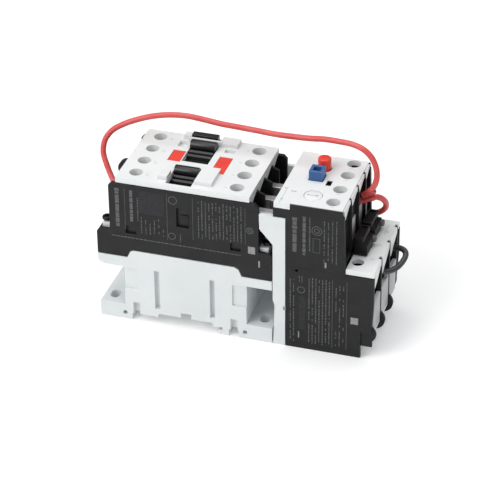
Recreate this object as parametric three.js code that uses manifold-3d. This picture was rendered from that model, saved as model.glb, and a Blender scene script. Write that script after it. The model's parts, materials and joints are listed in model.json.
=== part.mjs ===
// Magnetic motor starter: a four-pole contactor with a three-pole thermal overload relay plugged
// into its load side, and the three short wires that join their terminals.
// Millimetres, +Z away from the mounting panel, +X from the contactor to the relay, and Y across
// the poles. Pieces are placed from the contactor's line end (x = 0) and its near side (y = 0);
// the outermost group then moves the origin to the middle of the underside.

import * as THREE from "three";
import { mergeVertices } from "three/addons/utils/BufferGeometryUtils.js";
import Module from "manifold-3d";

const wasm = await Module();
wasm.setup();

// ---------------------------------------------------------------- driving dimensions
const WIDTH = 45;                  // across the poles, both devices
const LENGTH = 127.4;              // line end of the contactor to the relay's last lug
const GAP = 0.3;                   // clearance between neighbouring pieces
const WALL = 1.8;                  // moulded walls
const PAST = 1;                    // how far a cutter runs past a face
const ROUND = 24;                  // sides of a large round feature
const FINE = 12;                   // sides of a screw and other small rounds

const BASE_TOP = 36.3;             // top of the white base's middle
const SHOULDER = 45.6;             // top of the dark body's low ends
const DECK = { z0: 48.2, z1: 49.6 };
const BODY_TOP = 69.6;
const PLATE = { z0: 69.9, z1: 72.5 };      // both top plates
const BODY_X = [6.2, 74];          // the dark body's tall part
const CONTACTOR_LENGTH = 80;

const POLE_Y = [6.9, 17.6, 28.4, 39.2];    // contactor poles
const PARTITION_Y = [12.25, 23.0, 33.8];   // walls between them
const LINE_SCREW_X = 16.9;
const LOAD_SCREW_X = 62.6;
const MIRROR_X = CONTACTOR_LENGTH;         // load side = MIRROR_X - line side

const TRAVEL = 4;                  // contact carrier stroke, which closes the magnet
const RELAY_X = 80.4;              // first face of the relay
const AUX_Y = [6.9, 17.8, 30.1, 40.4];     // relay's top terminals
const AUX_X = 105.2;
const AUX_WALL_Y = [12.3, 23.9, 35.2];
const MOTOR_Y = [7.4, 20.7, 34.3];         // relay's motor terminals
const MOTOR_X = 116.2;
const MOTOR_WALL_Y = [13.7, 27.7, 40.9];
const MOTOR_PLATE = { x0: 112.8, x1: 125.4, z0: 41.8, z1: 44.2 };

// ---------------------------------------------------------------- finishes
function finish(color, roughness, metalness = 0) {
  return new THREE.MeshStandardMaterial({ color, roughness, metalness });
}

const WHITE = finish(0xe9edee, 0.5);
const DARK = finish(0x3c3c3e, 0.6);
const BLACK = finish(0x17171a, 0.4);
const RED = finish(0xe8443c, 0.45);
const BLUE = finish(0x33619f, 0.4);
const STEEL = finish(0xb9bbbd, 0.35, 1);
const COPPER = finish(0xb87a4a, 0.4, 1);
const CORE = finish(0x6d6f73, 0.55, 1);
const RED_WIRE = finish(0xd94a4a, 0.45);
const BLACK_WIRE = finish(0x303033, 0.5);

// ---------------------------------------------------------------- solids
function solid(geometry) {
  const bare = geometry.clone();
  bare.deleteAttribute("normal");
  bare.deleteAttribute("uv");
  const merged = mergeVertices(bare, 1e-5);
  const vertProperties = new Float32Array(merged.attributes.position.array);
  const triVerts = new Uint32Array(merged.index.array);
  return new wasm.Manifold(new wasm.Mesh({ numProp: 3, vertProperties, triVerts }));
}

function join(first, ...rest) {
  return rest.flat().reduce((whole, piece) => whole.add(piece), first);
}

function cut(first, ...rest) {
  return rest.flat().reduce((whole, piece) => whole.subtract(piece), first);
}

function box(x0, x1, y0, y1, z0, z1) {
  const geometry = new THREE.BoxGeometry(x1 - x0, y1 - y0, z1 - z0);
  geometry.translate((x0 + x1) / 2, (y0 + y1) / 2, (z0 + z1) / 2);
  return solid(geometry);
}

// A box given by its centre line in y.
function slab(x0, x1, y, width, z0, z1) {
  return box(x0, x1, y - width / 2, y + width / 2, z0, z1);
}

function outline(points) {
  return new THREE.Shape(points.map(([u, v]) => new THREE.Vector2(u, v)));
}

// An outline in x and z, carried from y0 to y1.
function profile(points, y0, y1) {
  const flat = points instanceof THREE.Shape ? points : outline(points);
  const geometry = new THREE.ExtrudeGeometry(flat, { depth: y1 - y0, bevelEnabled: false });
  geometry.rotateX(Math.PI / 2);
  geometry.translate(0, y1, 0);
  return solid(geometry);
}

// An outline in y and z, carried from x0 to x1.
function sideProfile(points, x0, x1) {
  const geometry = new THREE.ExtrudeGeometry(outline(points), { depth: x1 - x0, bevelEnabled: false });
  geometry.rotateX(Math.PI / 2);
  geometry.rotateZ(Math.PI / 2);
  geometry.translate(x0, 0, 0);
  return solid(geometry);
}

function post(x, y, radius, z0, z1, sides = ROUND) {
  const geometry = new THREE.CylinderGeometry(radius, radius, z1 - z0, sides);
  geometry.rotateX(Math.PI / 2);
  geometry.translate(x, y, (z0 + z1) / 2);
  return solid(geometry);
}

function barAlongY(x, z, radius, y0, y1, sides = ROUND) {
  const geometry = new THREE.CylinderGeometry(radius, radius, y1 - y0, sides);
  geometry.translate(x, (y0 + y1) / 2, z);
  return solid(geometry);
}

function barAlongX(y, z, radius, x0, x1, sides = ROUND) {
  const geometry = new THREE.CylinderGeometry(radius, radius, x1 - x0, sides);
  geometry.rotateZ(Math.PI / 2);
  geometry.translate((x0 + x1) / 2, y, z);
  return solid(geometry);
}

function mirrored(points) {
  return points.map(([x, z]) => [MIRROR_X - x, z]).reverse();
}

const starter = new THREE.Group();

function add(name, shape, material) {
  let geometry = shape;
  if (!(shape instanceof THREE.BufferGeometry)) {
    const raw = shape.getMesh();
    geometry = new THREE.BufferGeometry();
    geometry.setAttribute("position", new THREE.BufferAttribute(new Float32Array(raw.vertProperties), 3));
    geometry.setIndex(new THREE.BufferAttribute(new Uint32Array(raw.triVerts), 1));
    geometry.computeVertexNormals();
  }
  const mesh = new THREE.Mesh(geometry, material);
  mesh.name = name;
  starter.add(mesh);
}

// ---------------------------------------------------------------- contactor: white base
const FOOT_TOP = 7.5;
const FLANGE = { z0: 27.4, ends: 32.5 };
const PEDESTAL_X = [12, 68.4];
const RAIL = { x0: 18.7, x1: 57.2, lip: 3.4, deep: 5.2, notch: 7.6, seat: 55.1, relief: 3.7 };
const TOWER = { x0: 2.1, x1: 5.9, z1: 47.3 };
const MAGNET_ROOM = { x0: 17, x1: 63.4, z0: 9.5 };
const CLIP_CHANNEL_Y = [14.5, 30.5];

function baseFlange() {
  const top = [[80, 32], [66.3, 32], [65, 35.2], [62.9, BASE_TOP], [16.6, BASE_TOP], [15.2, 35.6],
    [13.8, FLANGE.ends], [0, FLANGE.ends]];
  return profile([[0, 28.8], [2.8, FLANGE.z0], [80, FLANGE.z0], ...top], 0, WIDTH);
}

function baseFoundation() {
  const rail = [[27.4, RAIL.lip], [27.4, RAIL.deep], [38, RAIL.deep], [38, RAIL.notch], [42.8, RAIL.notch],
    [42.8, RAIL.deep], [52.6, RAIL.deep], [52.6, RAIL.lip], [RAIL.seat, RAIL.lip], [RAIL.seat, RAIL.relief]];
  const hook = [[RAIL.x1, RAIL.relief], [RAIL.x1, 2.1], [55.4, 2.1], [55.9, 0.6], [57.6, 0], [60.2, 0],
    [60.2, RAIL.lip]];
  const rightFoot = [[64.8, RAIL.lip], [64.8, 0], [80, 0], [80, FOOT_TOP], [PEDESTAL_X[1], FOOT_TOP]];
  const upper = [[PEDESTAL_X[1], FLANGE.z0 + PAST], [PEDESTAL_X[0], FLANGE.z0 + PAST],
    [PEDESTAL_X[0], FOOT_TOP]];
  const leftFoot = [[0.2, FOOT_TOP], [0.2, 0], [15.2, 0], [15.2, RAIL.lip]];
  return profile([...leftFoot, ...rail, ...hook, ...rightFoot, ...upper], 0, WIDTH);
}

function baseTowers() {
  const tower = (x0, x1) => box(x0, x1, WALL + GAP, WIDTH - WALL - GAP, FLANGE.ends - PAST, TOWER.z1);
  return [tower(TOWER.x0, TOWER.x1), tower(MIRROR_X - TOWER.x1, MIRROR_X - TOWER.x0)];
}

// Cutters for one long side; the far side gets the same ones mirrored.
function baseSideCuts(near) {
  const deep = (x0, x1, z0, z1, depth) => near
    ? box(x0, x1, -PAST, depth, z0, z1)
    : box(x0, x1, WIDTH - depth, WIDTH + PAST, z0, z1);
  const grooves = [deep(26, 28.4, 7.7, 27.6, 2.2), deep(51.6, 53.9, 7.7, 27.6, 2.2)];
  const recesses = [deep(PEDESTAL_X[0] - PAST, 18.1, 16.1, 26.9, 0.9), deep(61.9, 69, 16.1, 26.9, 0.9)];
  const windows = [deep(15.7, 18.9, 3.4, 9.3, 2.4), deep(61, 64.2, 2.9, 9, 2.4)];
  const holes = [11.8, 67.6].map((x) => near
    ? barAlongY(x, 3.1, 1.1, -PAST, 4, FINE)
    : barAlongY(x, 3.1, 1.1, WIDTH - 4, WIDTH + PAST, FINE));
  return [...grooves, ...recesses, ...windows, ...holes];
}

// The elongated holes for the panel screws, one pair in each foot.
function baseMountingSlots() {
  const slot = (x, y) => join(post(x, y - 1, 2.2, -PAST, FOOT_TOP + PAST, FINE),
    slab(x - 2.2, x + 2.2, y, 2, -PAST, FOOT_TOP + PAST),
    post(x, y + 1, 2.2, -PAST, FOOT_TOP + PAST, FINE));
  const places = [[5, 7], [5, WIDTH - 7], [MIRROR_X - 5, 7], [MIRROR_X - 5, WIDTH - 7]];
  return places.map(([x, y]) => slot(x, y));
}

function contactorBase() {
  const whole = join(baseFlange(), baseFoundation(), baseTowers());
  const magnetRoom = box(MAGNET_ROOM.x0, MAGNET_ROOM.x1, 3, WIDTH - 3, MAGNET_ROOM.z0, BASE_TOP + PAST);
  const clipChannel = box(-PAST, RAIL.x0, CLIP_CHANNEL_Y[0], CLIP_CHANNEL_Y[1], -PAST, RAIL.lip);
  return cut(whole, magnetRoom, clipChannel, baseSideCuts(true), baseSideCuts(false), baseMountingSlots());
}

function railClip() {
  const plate = [[0.6, 0.8], [22.2, 0.8], [23.4, 2.1], [21.4, 2.1], [21.4, 3], [0.6, 3]];
  const slot = box(2.2, 4, 20.5, 24.5, 0, 4);
  return cut(profile(plate, CLIP_CHANNEL_Y[0] + GAP, CLIP_CHANNEL_Y[1] - GAP), slot);
}

// ---------------------------------------------------------------- contactor: dark body
const BAY_LUG = { x: 7, z: 64, radius: 4.2 };

function bodySideWall(y0, y1) {
  const bottom = [[0, 32.8], [13.6, 32.8], [15, 35.9], [16.4, 36.6], [63.1, 36.6], [65.3, 35.5], [66.6, 32.3],
    [80, 32.3]];
  const right = [[80, 44.6], [79, SHOULDER], [BODY_X[1], SHOULDER], [BODY_X[1], 68], [72.4, BODY_TOP]];
  const left = [[7.6, BODY_TOP], [BODY_X[0], 68.2], [BODY_X[0], SHOULDER], [1.5, SHOULDER], [0, 43.9]];
  return profile([...bottom, ...right, ...left], y0, y1);
}

function bodyFrame() {
  const ends = [box(0, WALL, 0, WIDTH, 32.8, 43.9),
    box(CONTACTOR_LENGTH - WALL, CONTACTOR_LENGTH, 0, WIDTH, 32.3, 44.6)];
  const risers = [box(BODY_X[0], BODY_X[0] + WALL, 0, WIDTH, 33, DECK.z1),
    box(BODY_X[1] - WALL, BODY_X[1], 0, WIDTH, 33, DECK.z1)];
  const decks = [box(BODY_X[0], 35, 0, WIDTH, DECK.z0, DECK.z1),
    box(45, BODY_X[1], 0, WIDTH, DECK.z0, DECK.z1)];
  return [...ends, ...risers, ...decks];
}

// Walls between the terminals; they step back under the accessory rail and end in fins.
function bodyPartitions() {
  const line = [[BODY_X[0] + 0.4, DECK.z0], [32.3, DECK.z0], [32.3, 62], [28.8, 62], [28.8, BODY_TOP - 0.4],
    [10, BODY_TOP - 0.4], [BODY_X[0] + 0.4, 67.8]];
  return PARTITION_Y.flatMap((y) => [profile(line, y - 0.65, y + 0.65),
    profile(mirrored(line), y - 0.65, y + 0.65)]);
}

// Blind pockets in a long side wall.
function bodyPockets(near) {
  const depth = 1.2;
  const y0 = near ? -PAST : WIDTH - depth;
  const y1 = near ? depth : WIDTH + PAST;
  return [box(13.5, 18.4, y0, y1, 45, 49), box(61.3, 66, y0, y1, 44.7, 48.7),
    box(37.1, 42.8, y0, y1, 52.3, 61.9)];
}

function contactorBody() {
  const walls = [bodySideWall(0, WALL), bodySideWall(WIDTH - WALL, WIDTH)];
  const lug = barAlongY(BAY_LUG.x, BAY_LUG.z, BAY_LUG.radius, PARTITION_Y[1] - 1.4, PARTITION_Y[1] + 1.4);
  const whole = join(...walls, bodyFrame(), bodyPartitions(), lug);
  return cut(whole, bodyPockets(true), bodyPockets(false));
}

// ---------------------------------------------------------------- contactor: white cover
const COVER = { x0: 9.5, x1: 70, y0: 0.4, y1: 44.6 };
const LOAD_EDGES = [[2.1, 11.2], [13.3, 22], [24, 32.8], [34.8, 42.9]];    // a skirt over each wire entry
const RAISED = 74.3;
const HEAD = { x0: 32.7, x1: 44.2, y0: 22, y1: 37.6 };         // top of the contact carrier
const FRONT_TRAY = { x0: 32.2, x1: 43.1, y0: 2.1, y1: 17 };
const BACK_TAB = { x0: 31.3, x1: 43.3, y0: 39.3, y1: 43.2 };
const TRAY_ROLLER_Z = 72;          // axes of the two black rollers
const HEAD_ROLLER_Z = 73.4;
const BAR_TOP = 74.9;              // white bar between the carrier's window and the back tab
const INSERT_TOP = PLATE.z1 - 0.1;
const INSERT_FLOOR = 71.2;
const LATCH_FLOOR = 70.8;
const TUBE = { radius: 3.7, z0: 66.8 };    // tubes that guide a screwdriver down to the screws
const LEFT_INSERT = { heart: [29, 25], corners: [[26.4, 20.8], [31.8, 20.8], [31.8, 30], [26.4, 30]] };
const RIGHT_INSERT = {
  heart: [52.4, 24],
  corners: [[47.7, 20.3], [51.4, 20.3], [51.4, 15.7], [53.4, 15.7], [53.4, 29.8], [47.7, 29.8]],
};

// An outline in x and y, carried from z0 to z1.
function plan(points, z0, z1) {
  const geometry = new THREE.ExtrudeGeometry(outline(points), { depth: z1 - z0, bevelEnabled: false });
  geometry.translate(0, 0, z0);
  return solid(geometry);
}

function around(slot, margin, z0, z1) {
  return box(slot.x0 - margin, slot.x1 + margin, slot.y0 - margin, slot.y1 + margin, z0, z1);
}

// An insert's outline moved outwards by the margin: every corner moves away from its heart.
function grown({ heart, corners }, margin) {
  const away = (value, middle) => value + margin * Math.sign(value - middle);
  return corners.map(([x, y]) => [away(x, heart[0]), away(y, heart[1])]);
}

function contactorCover() {
  const plate = box(COVER.x0, COVER.x1, COVER.y0, COVER.y1, PLATE.z0, PLATE.z1);
  const blocks = [[27.6, 31.8, 4, 10], [44.2, 52, 4, 15.2], [44.8, 52.9, 38, 44.2], [27.4, 31, 40.4, 44.2]]
    .map(([x0, x1, y0, y1]) => box(x0, x1, y0, y1, PLATE.z0, RAISED));
  const bar = box(30.4, 45.8, HEAD.y1 + GAP, BACK_TAB.y0 - GAP, PLATE.z0, BAR_TOP);
  const tubes = POLE_Y.flatMap((y) => [LINE_SCREW_X, LOAD_SCREW_X]
    .map((x) => post(x, y, TUBE.radius, TUBE.z0, PLATE.z0 + PAST)));
  const skirts = entrySkirts(COVER.x1 - 1.2, COVER.x1, LOAD_EDGES, PLATE.z0 + PAST, 4.6);
  const through = [TUBE.z0 - PAST, BAR_TOP + PAST];
  const screwHoles = POLE_Y.flatMap((y) => [post(LINE_SCREW_X, y, 3, ...through),
    post(LOAD_SCREW_X, y, 3.2, ...through)]);
  const openings = [HEAD, FRONT_TRAY, BACK_TAB].map((slot) => around(slot, GAP, ...through));
  const insertPockets = [LEFT_INSERT, RIGHT_INSERT]
    .map((insert) => plan(grown(insert, 0.2), INSERT_FLOOR, RAISED + PAST));
  const latchPockets = [box(26.6, 30.6, 33.6, 38.4, LATCH_FLOOR, RAISED + PAST),
    box(48, 52.8, 33.8, 36.7, LATCH_FLOOR, RAISED + PAST)];
  return cut(join(plate, blocks, bar, tubes, skirts), screwHoles, openings, insertPockets, latchPockets);
}

function redInsert({ corners }) {
  return plan(corners, INSERT_FLOOR + GAP, INSERT_TOP);
}

// The black rail that add-on blocks hook onto: a tray and roller in front, a tab behind, two arms.
const RAIL_FRAME = { x0: 30.2, x1: 46.9, arm: 1.9, back: 42.9, z0: 64.2, z1: 66.2 };

function accessoryRail() {
  const { x0, x1, z0, z1, back } = RAIL_FRAME;
  const tabY = BACK_TAB.y0 + 0.4;
  const arms = [x0, x1 - RAIL_FRAME.arm].map((x) => box(x, x + RAIL_FRAME.arm, FRONT_TRAY.y0, back, z0, z1));
  const crossbars = [box(x0, x1, FRONT_TRAY.y0, FRONT_TRAY.y1, z0, z1), box(x0, x1, tabY, back, z0, z1)];
  const roller = barAlongX(14.5, TRAY_ROLLER_Z, 2.4, FRONT_TRAY.x0, FRONT_TRAY.x1);
  const web = box(FRONT_TRAY.x0, FRONT_TRAY.x1, 13.2, 15.8, z1 - GAP, TRAY_ROLLER_Z);
  const tab = box(BACK_TAB.x0, BACK_TAB.x1, tabY, back, z1 - GAP, 75.7);
  return join(...arms, crossbars, roller, web, tab);
}

// ---------------------------------------------------------------- contactor: magnet and contacts
const CORE_Y = [13, 32];
const LEGS = [[20, 27], [35, 45], [53, 60]];
const FIXED_CORE = { z0: 9.8, yoke: 16.2, top: 27 };
const ARMATURE = { bottom: FIXED_CORE.top + TRAVEL + 0.4, yoke: 38.2, top: 44.8 };
const SPRING = { z0: 18.4, z1: 38, radius: 2.7, wire: 0.45, turns: 6.5 };
const SPRING_POCKET = 3.6;
const CORE_CENTRE = [40, 22.5];

function eCore(yoke0, yoke1, leg0, leg1) {
  const yoke = box(LEGS[0][0], LEGS[2][1], ...CORE_Y, yoke0, yoke1);
  return join(yoke, LEGS.map(([x0, x1]) => box(x0, x1, ...CORE_Y, leg0, leg1)));
}

function fixedCore() {
  const core = eCore(FIXED_CORE.z0, FIXED_CORE.yoke, FIXED_CORE.z0, FIXED_CORE.top);
  return cut(core, post(...CORE_CENTRE, SPRING_POCKET, SPRING.z0 - GAP, FIXED_CORE.top + PAST));
}

function armatureCore() {
  const core = eCore(ARMATURE.yoke, ARMATURE.top, ARMATURE.bottom, ARMATURE.top);
  return cut(core, post(...CORE_CENTRE, SPRING_POCKET, ARMATURE.bottom - PAST, SPRING.z1 + GAP));
}

function coil() {
  const flange = (z0, z1) => box(28.2, 51.8, 5, 40, z0, z1);
  const winding = box(29.4, 50.6, 6.2, 38.8, 17, 32);
  const bore = box(34.3, 45.7, CORE_Y[0] - 0.7, CORE_Y[1] + 0.7, 10, 40);
  return cut(join(winding, flange(16.6, 18), flange(31.6, 33)), bore);
}

class Helix extends THREE.Curve {
  constructor(radius, z0, z1, turns) {
    super();
    Object.assign(this, { radius, z0, z1, turns });
  }

  getPoint(t, target = new THREE.Vector3()) {
    const angle = t * this.turns * 2 * Math.PI;
    const x = CORE_CENTRE[0] + this.radius * Math.cos(angle);
    const y = CORE_CENTRE[1] + this.radius * Math.sin(angle);
    return target.set(x, y, this.z0 + t * (this.z1 - this.z0));
  }
}

function circle(radius, sides) {
  const angles = Array.from({ length: sides }, (_, i) => (2 * Math.PI * i) / sides);
  return outline(angles.map((angle) => [radius * Math.cos(angle), radius * Math.sin(angle)]));
}

function returnSpring() {
  const path = new Helix(SPRING.radius, SPRING.z0 + SPRING.wire, SPRING.z1 - SPRING.wire, SPRING.turns);
  const sweep = { steps: 66, extrudePath: path, bevelEnabled: false };
  return new THREE.ExtrudeGeometry(circle(SPRING.wire, 5), sweep);
}

const BRIDGE = { x0: 28.6, x1: 51.4, low: 55.6, high: 56.6, thick: 1.2, width: 6 };

function contactCarrier() {
  const stem = box(37, 43, 2.4, 42.6, 46, 63.4);
  const plate = box(19, 61, 9.8, 35.2, 45.2, 47.2);
  const cheeks = [box(30, 50, 9.8, 12.6, 37.6, 46), box(30, 50, 32.4, 35.2, 37.6, 46)];
  const head = box(HEAD.x0, HEAD.x1, HEAD.y0, HEAD.y1, 63.2, 66.4);
  const roller = barAlongX(35, HEAD_ROLLER_Z, 2.5, HEAD.x0, HEAD.x1);
  const web = box(HEAD.x0, HEAD.x1, 33.4, 36.6, 66, HEAD_ROLLER_Z);
  const ledge = box(HEAD.x0, HEAD.x1, HEAD.y0, HEAD.y0 + 1.8, 66, 68.6);
  const windows = POLE_Y.map((y) => slab(30, 50, y, BRIDGE.width + 0.8, BRIDGE.high - 0.4, 60.4));
  return cut(join(stem, plate, cheeks, head, roller, web, ledge), windows);
}

function contactBridge(y) {
  const { x0, x1, low, high, thick } = BRIDGE;
  const under = [[x0, low], [33.5, low], [34.7, high], [45.3, high], [46.5, low], [x1, low]];
  const over = [[x1, low + thick], [46, low + thick], [45, high + thick], [35, high + thick],
    [34, low + thick], [x0, low + thick]];
  return profile([...under, ...over], y - BRIDGE.width / 2, y + BRIDGE.width / 2);
}

// A table-shaped strip: terminal plate on top, its inner foot carries the contact tip.
const STRIP = [[9.8, 49.9], [11.2, 49.9], [11.2, 57], [22.6, 57], [22.6, 49.9], [31.6, 49.9], [31.6, 51.3],
  [24, 51.3], [24, 58.4], [9.8, 58.4]];

function fixedContact(points, screwX, y) {
  return cut(profile(points, y - 3.5, y + 3.5), post(screwX, y, 2, 56, 60, FINE));
}

// ---------------------------------------------------------------- screws
const SCREW = { head: 2.6, shank: 1.5, slot: 0.8, slotDepth: 1.1 };
const TERMINAL_SCREW = { foot: 53, z0: 63.8, z1: 66.2 };
const COIL_SCREW = { x: 3.2, y: 5.2, foot: 47.6, z0: 47.7, z1: 50.6 };
const AUX_SCREW = { foot: 56, z0: 64.6, z1: 66.8 };
const MOTOR_SCREW = { foot: 28, z0: 38.4, z1: 40.8, head: 2.4 };

function screw(x, y, z0, headZ0, headZ1, head = SCREW.head) {
  const whole = join(post(x, y, SCREW.shank, z0, headZ0 + 0.5, FINE), post(x, y, head, headZ0, headZ1, FINE));
  const across = head + PAST;
  return cut(whole, slab(x - across, x + across, y, SCREW.slot, headZ1 - SCREW.slotDepth, headZ1 + PAST));
}

// ---------------------------------------------------------------- relay: shells
const HOUSING_X = 86.3;
const NOSE = { x: 80.6, z0: 65.4 };
const INNER_WALL = [108.4, 110.2];
const FRAME_EDGE = 86;
const LUG = { x: 122.4, z: 12.6, radius: 5 };
const WIRE_SILL = 27.8;
const AUX_BLADE = 1;               // thickness of the walls between the relay's top terminals
const MOTOR_BLADE = 1.6;           // and between its motor terminals

// The white shell that hooks onto the contactor and closes the relay underneath.
function overloadFrame() {
  const strip = [[80.6, 0], [FRAME_EDGE, 0], [FRAME_EDGE, 65.1], [74.3, 65.1], [74.5, 57.9], [RELAY_X, 50.9],
    [RELAY_X, 22.7], [81.2, 20.3], [81.2, 17.7]];
  const strips = [profile(strip, 0, WALL), profile(strip, WIDTH - WALL, WIDTH)];
  const wall = box(RELAY_X + 0.9, RELAY_X + 0.9 + WALL, 0, WIDTH, 0.4, 50);
  const slope = profile([[RELAY_X, 50.9], [RELAY_X + 0.9, 49], [83.1, 49], [83.1, 50.9], [77.2, 58],
    [74.5, 57.9]], 0, WIDTH);
  const shelf = box(75, FRAME_EDGE, 0, WIDTH, 56.8, 58.2);
  const underside = [[81.3, 0], [119.2, 0], [119.2, 12.2], [125.2, 12.2], [125.2, WIRE_SILL],
    [123.6, WIRE_SILL], [123.6, 13.8], [117.6, 13.8], [117.6, 1.6], [81.3, 1.6]];
  const floor = profile(underside, WALL + GAP, WIDTH - WALL - GAP);
  const wallSlots = MOTOR_WALL_Y.map((y) => slab(111, 127, y, 2.2, 1.7, 30));
  const lastSlot = box(111, 127, MOTOR_WALL_Y[2], WIDTH, 1.7, 30);
  return join(cut(floor, wallSlots, lastSlot), ...strips, wall, slope, shelf);
}

function housingSideWall(y0, y1) {
  const bottom = [[HOUSING_X, 0], [119.8, 0], [119.8, 13.2], [124.7, 13.2], [124.7, 16], [125.4, 28]];
  const right = [[125.4, 41.5], [112.7, 41.5], [111.8, BODY_TOP]];
  const left = [[NOSE.x, BODY_TOP], [NOSE.x, NOSE.z0], [HOUSING_X, NOSE.z0]];
  return profile([...bottom, ...right, ...left], y0, y1);
}

function housingLip(y0, y1, top) {
  return box(88.2, 111.4, y0, y1, BODY_TOP - PAST, top);
}

// A motor-terminal partition: a blade with a pointed tip and, on all but the far one, a rounded
// lug at its foot.
function motorPartition(y) {
  const faces = [y - MOTOR_BLADE / 2, y + MOTOR_BLADE / 2];
  const blade = slab(INNER_WALL[0], 125.3, y, MOTOR_BLADE, 14.4, MOTOR_PLATE.z0 - GAP);
  const tip = profile([[124.3, 40], [125.3, 40], [125.3, 42.6], [124.8, 43.9], [124.3, 43.9]], ...faces);
  const root = slab(INNER_WALL[0], LUG.x, y, MOTOR_BLADE, 8, 20);
  const farthest = y === MOTOR_WALL_Y.at(-1);
  return join(blade, tip, root, farthest ? [] : barAlongY(LUG.x, LUG.z, LUG.radius, ...faces));
}

function overloadHousing() {
  const walls = [housingSideWall(0, WALL), housingSideWall(WIDTH - WALL, WIDTH)];
  const lips = [housingLip(0, 0.5, PLATE.z1 - 0.1), housingLip(WIDTH - 0.5, WIDTH, PLATE.z1 - 0.9)];
  const auxTip = [[111.1, 46], [112.1, 46], [112.1, 68], [111.5, 72.2], [111.1, 72.2]];
  const leftWall = box(HOUSING_X, HOUSING_X + WALL, 0, WIDTH, 2, BODY_TOP);
  const innerWall = box(...INNER_WALL, 0, WIDTH, 2, BODY_TOP);
  const auxWalls = AUX_WALL_Y.flatMap((y) => [slab(INNER_WALL[0], 111.6, y, AUX_BLADE, 46, BODY_TOP),
    profile(auxTip, y - AUX_BLADE / 2, y + AUX_BLADE / 2)]);
  const shelf = box(INNER_WALL[0], 112, 0, WIDTH, 44.6, 46.6);
  const nearLug = barAlongY(LUG.x, LUG.z, LUG.radius - 0.7, 0.8, WALL);
  const lugRoot = box(119.9, 124.9, 0.8, WALL, 6, 14);
  const lugTie = box(118, 121, 0.8, WALL, 8, 13.5);
  const barHoles = POLE_Y.slice(0, 3).map((y) => slab(85, 90, y, 4.6, 58.2, 63.9));
  const auxHoles = AUX_Y.map((y) => slab(107, 111, y, 5.6, 58.5, 67.5));
  const motorHoles = MOTOR_Y.map((y) => slab(107, 111, y, 6, 30, 36));
  const whole = join(...walls, lips, leftWall, innerWall, auxWalls, shelf, MOTOR_WALL_Y.map(motorPartition),
    nearLug, lugRoot, lugTie);
  return cut(whole, barHoles, auxHoles, motorHoles);
}

// Pointed skirts hang from a plate's edge, one over each wire entry.
function entrySkirts(x0, x1, edges, top, drop) {
  const skirt = (y0, y1) => [[y0, top], [y0, top - drop], [y0 + 0.8, top - drop], [y1, top - 1.2], [y1, top]];
  return edges.map(([y0, y1]) => sideProfile(skirt(y0, y1), x0, x1));
}

const DIAL = { x: 95.5, y: 10, radius: 3.9 };
const STOP = { x: 94, y: 33, radius: 2.9, top: 78 };
const RESET = { x0: 90, x1: 96.1, y0: 21.8, y1: 28, top: 77 };
const TEST = { x0: 98, x1: 100.4, y0: 19.4, y1: 23.8 };

function overloadCover() {
  const plate = join(box(80.9, 88, 0, WIDTH, PLATE.z0, PLATE.z1),
    box(87, 110.8, 0.8, WIDTH - 0.8, PLATE.z0, PLATE.z1));
  const room = box(AUX_X - 5, INNER_WALL[0] - GAP, WALL + GAP, WIDTH - WALL - GAP, TUBE.z0, PLATE.z0 + PAST);
  const tubes = AUX_Y.map((y) => post(AUX_X, y, 3.8, TUBE.z0 - PAST, PLATE.z0 + 2 * PAST).intersect(room));
  const edges = [[2.1, 11.5], [13.1, 23.1], [24.7, 34.4], [36, 42.9]];
  const skirts = entrySkirts(110.5, 111.5, edges, PLATE.z1 - 0.6, 5.2);
  const ties = edges.map(([y0, y1]) => box(110, 111.5, y0, y1, PLATE.z0, PLATE.z1 - 0.6));
  const through = [TUBE.z0 - PAST, PLATE.z1 + PAST];
  const screwHoles = AUX_Y.map((y) => post(AUX_X, y, 3.1, ...through));
  const holes = [post(DIAL.x, DIAL.y, DIAL.radius + GAP, ...through),
    post(STOP.x, STOP.y, STOP.radius + GAP, ...through), around(RESET, GAP, ...through),
    box(TEST.x0, TEST.x1, TEST.y0, TEST.y1, ...through), slab(85.5, 87.9, 11, 0.7, ...through)];
  return cut(join(plate, tubes, skirts, ties), screwHoles, holes);
}

function overloadTerminalCover() {
  const { x0, x1, z0, z1 } = MOTOR_PLATE;
  const plate = box(x0, x1, 0.3, WIDTH - 0.3, z0, z1);
  const through = [z0 - PAST, z1 + PAST];
  const tipSlots = MOTOR_WALL_Y.map((y) => slab(x1 - 1.4, x1 + PAST, y, MOTOR_BLADE + 2 * GAP, ...through));
  const edges = [[2.1, 12.6], [14.8, 26.6], [28.8, 39.8]];
  const skirts = entrySkirts(x1 - 1.2, x1, edges, z0 + PAST, 7);
  const screwHoles = MOTOR_Y.map((y) => post(MOTOR_X, y, 2.7, ...through));
  return cut(join(plate, skirts), screwHoles, tipSlots);
}

// ---------------------------------------------------------------- relay: moving and inner pieces
function linkBar(y) {
  return slab(64.6, 93, y, 3.8, 58.8, 63.3);
}

function stopButton() {
  return join(post(STOP.x, STOP.y, STOP.radius, 68, STOP.top), post(STOP.x, STOP.y, 1.8, 60, 68.5, FINE));
}

function resetButton() {
  const block = around(RESET, 0, 68, RESET.top);
  const well = box(RESET.x0 + 1.3, RESET.x1 - 1.3, RESET.y0 + 1.3, RESET.y1 - 1.3, 74.6, RESET.top + PAST);
  return join(cut(block, well), box(91.5, 94.6, 23.4, 26.4, 60, 68.5));
}

function currentDial() {
  const knob = join(post(DIAL.x, DIAL.y, DIAL.radius, 70.2, PLATE.z1),
    post(DIAL.x, DIAL.y, 1.6, 64, 70.5, FINE));
  const slot = slab(DIAL.x - 2.8, DIAL.x + 2.8, DIAL.y, 1, 71.6, PLATE.z1 + PAST);
  return cut(knob, slot);
}

function testSlider() {
  return join(box(TEST.x0 + GAP, TEST.x1 - GAP, TEST.y0 + GAP, TEST.y0 + 2.4, 68.5, 71.6),
    box(TEST.x0 - 0.8, TEST.x1 + 0.8, TEST.y0 - 0.6, TEST.y0 + 3.4, 67.4, 69));
}

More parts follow.
